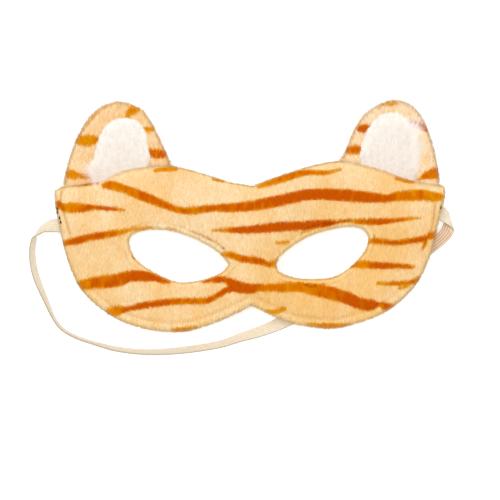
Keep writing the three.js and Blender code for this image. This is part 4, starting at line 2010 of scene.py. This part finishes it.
@dataclass
class SewingThread:
    """Visible stitches, each a dash that lies in the pile."""

    thread: bpy.types.Material
    lines: tuple[Line, ...] = BAND_STITCHES
    thickness: float = 0.8 * MM
    length: float = 2.0 * MM
    lift: float = 0.5 * MM
    neighbours: int = 24

    def build(self, skin: bpy.types.Object) -> bpy.types.Object:
        """Lays short stitches along each line on the skin's edge.

        Args:
            skin: the panel that the stitches lie on.

        Returns:
            All the stitches as one piece.
        """
        tree = KDTree(len(skin.data.vertices))
        for number, vertex in enumerate(skin.data.vertices):
            tree.insert(Vector((vertex.co.x, vertex.co.y, 0)), number)
        tree.balance()
        stitches = []
        for line in self.lines:
            (x0, y0), (x1, y1) = line
            count = max(1, round(math.dist(*line) * MM / self.length))
            for k in range(count):
                share = (k + 0.5) / count
                x = (x0 + (x1 - x0) * share) * MM
                y = (y0 + (y1 - y0) * share) * MM
                found = tree.find_n(Vector((x, y, 0)), self.neighbours)
                top = max(skin.data.vertices[number].co.z for _, number, _ in found)
                heading = math.atan2(y1 - y0, x1 - x0)
                stitches.append(self._stitch(Vector((x, y, top + self.lift)), heading))
        deselect_all()
        for stitch in stitches:
            stitch.select_set(True)
        bpy.context.view_layer.objects.active = stitches[0]
        bpy.ops.object.join()
        piece = bpy.context.object
        piece.name = "band_stitches"
        piece.data.materials.append(self.thread)
        smooth_shade(piece)
        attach(piece, BODY)
        return piece

    def _stitch(self, place: Vector, heading: float) -> bpy.types.Object:
        """Makes one stitch: a small rounded dash whose ends dip into the cloth.

        Args:
            place: its middle.
            heading: its angle in plan, in radians.

        Returns:
            The stitch.
        """
        deselect_all()
        bpy.ops.mesh.primitive_uv_sphere_add(segments=10, ring_count=8, radius=self.thickness / 2)
        stitch = bpy.context.object
        points = read_points(stitch)
        points[:, 0] *= self.length * 0.9 / self.thickness
        points[:, 2] -= (points[:, 0] / (self.length / 2)) ** 2 * self.thickness * 0.4
        write_points(stitch, points)
        stitch.rotation_euler = (0, 0, heading)
        stitch.location = place
        bpy.ops.object.transform_apply(location=True, rotation=True, scale=True)
        return stitch


@dataclass
class Studio:
    """The camera, floor and lights."""

    picture_width: float = 245 * MM
    look_at: Triple = (-0.1 * MM, -16.8 * MM, 8 * MM)
    camera_height: float = 2.4
    sensor_width: float = 36.0
    floor_size: float = 3.0
    floor_drop: float = 0.1 * MM
    surround: float = 0.5
    lamps: tuple[tuple[str, Triple, float, float], ...] = (
        ("key_lamp", (-0.35, 0.5, 1.4), 1.0, 14.0),
        ("fill_lamp", (0.5, -0.35, 1.4), 1.3, 8.0),
    )

    def camera(self) -> None:
        """Places the camera straight above the mask, as in the photograph."""
        data = bpy.data.cameras.new("photo_camera")
        data.sensor_width = self.sensor_width
        data.lens = self.sensor_width * self.camera_height / self.picture_width
        camera = bpy.data.objects.new("photo_camera", data)
        camera.location = Vector(self.look_at) + Vector((0, 0, self.camera_height))
        bpy.context.collection.objects.link(camera)
        bpy.context.scene.camera = camera

    def floor(self, material: bpy.types.Material) -> None:
        """Lays a plain pale floor under the mask.

        Args:
            material: the floor's material.
        """
        deselect_all()
        bpy.ops.mesh.primitive_plane_add(size=self.floor_size, location=(0, 0, -self.floor_drop))
        floor = bpy.context.object
        bpy.ops.object.transform_apply(location=True, rotation=True, scale=True)
        floor.name = "floor"
        floor.data.materials.append(material)

    def lights(self) -> None:
        """Sets a soft surround and two large soft lamps."""
        world = bpy.data.worlds.new("studio")
        world.use_nodes = True
        background = world.node_tree.nodes["Background"]
        background.inputs["Color"].default_value = (1.0, 1.0, 1.0, 1.0)
        background.inputs["Strength"].default_value = self.surround
        bpy.context.scene.world = world
        for lamp in self.lamps:
            self._lamp(*lamp)
        bpy.context.scene.view_settings.view_transform = "Standard"

    @staticmethod
    def _lamp(name: str, place: Triple, size: float, power: float) -> None:
        """Adds one square lamp that faces the mask.

        Args:
            name: the lamp's name.
            place: where it hangs, in metres.
            size: how wide it is, in metres.
            power: its power in watts.
        """
        data = bpy.data.lights.new(name, "AREA")
        data.size = size
        data.energy = power
        lamp = bpy.data.objects.new(name, data)
        lamp.location = place
        lamp.rotation_euler = (-Vector(place)).to_track_quat("-Z", "Y").to_euler()
        bpy.context.collection.objects.link(lamp)


def report(pieces: list[bpy.types.Object]) -> None:
    """Logs the name and number of faces of each piece."""
    for piece in pieces:
        LOG.info("%s: %d faces", piece.name, len(piece.data.polygons))


def main() -> None:
    """Builds the camera, the band, the panel, the ears, their fur, the stitches, the floor and the lights,
    in that order.
    """
    logging.basicConfig(level=logging.INFO, format="%(message)s")
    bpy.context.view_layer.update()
    studio = Studio()
    studio.camera()
    report([ElasticBand(ElasticFinish().build("elastic")).build()])
    plush = PlushFinish().build("plush")
    ear_plush = PlushFinish(
        pale=colour(252, 227, 189),
        deep=colour(249, 209, 150),
        # The ear's greyer rim colour: partly bare woven ground, partly painted edge shade
        ground_and_edge_shade=colour(176, 148, 118),
        fade=(-2.5, -2.0, 0.0),
        fade_level=0.46,
    ).build("ear_plush")
    lining = LiningFinish().build("lining")
    panel = MaskPanel("mask_face", "mask_face_plush", MASK_STRIPES, plush, lining, seed=11)
    face = panel.build()
    report(face)
    long_pile = Pile(length=2.3 * MM, lean=0.6, unruly=0.5, print_share=(0.3, 0.8), grain=0.13, nap=Nap.UP)
    ears = (
        ("ear_left", EAR_LEFT_STRIPES, 23),
        ("ear_right", EAR_RIGHT_STRIPES, 37),
    )
    for node, stripes, seed in ears:
        name = node + "_plush"
        ear = Ear(node, name, stripes, ear_plush, ear_plush, seed, pile=long_pile, brow=panel.rims)
        report(ear.build())
    white = FurFinish().build("fur")
    furs = (
        ("ear_fur_left", (Spill(-76, 20, 4, 9), Spill(-69, 17, 5, 6)), 41),
        ("ear_fur_right", (Spill(79, 39, 6, 11), Spill(80, 32, 5, 8), Spill(80, 25, 5, 4)), 53),
    )
    for node, spills, seed in furs:
        report(EarFur(node, node + "_pad", white, panel.rims, spills, seed).build())
    dark = PlainFinish(colour(78, 62, 46)).build("thread")
    report([SewingThread(dark).build(face[0])])
    studio.floor(PlainFinish(colour(250, 250, 250), roughness=0.9, variation=0.0, glow=0.3).build("floor"))
    studio.lights()


if __name__ == "__main__":
    main()
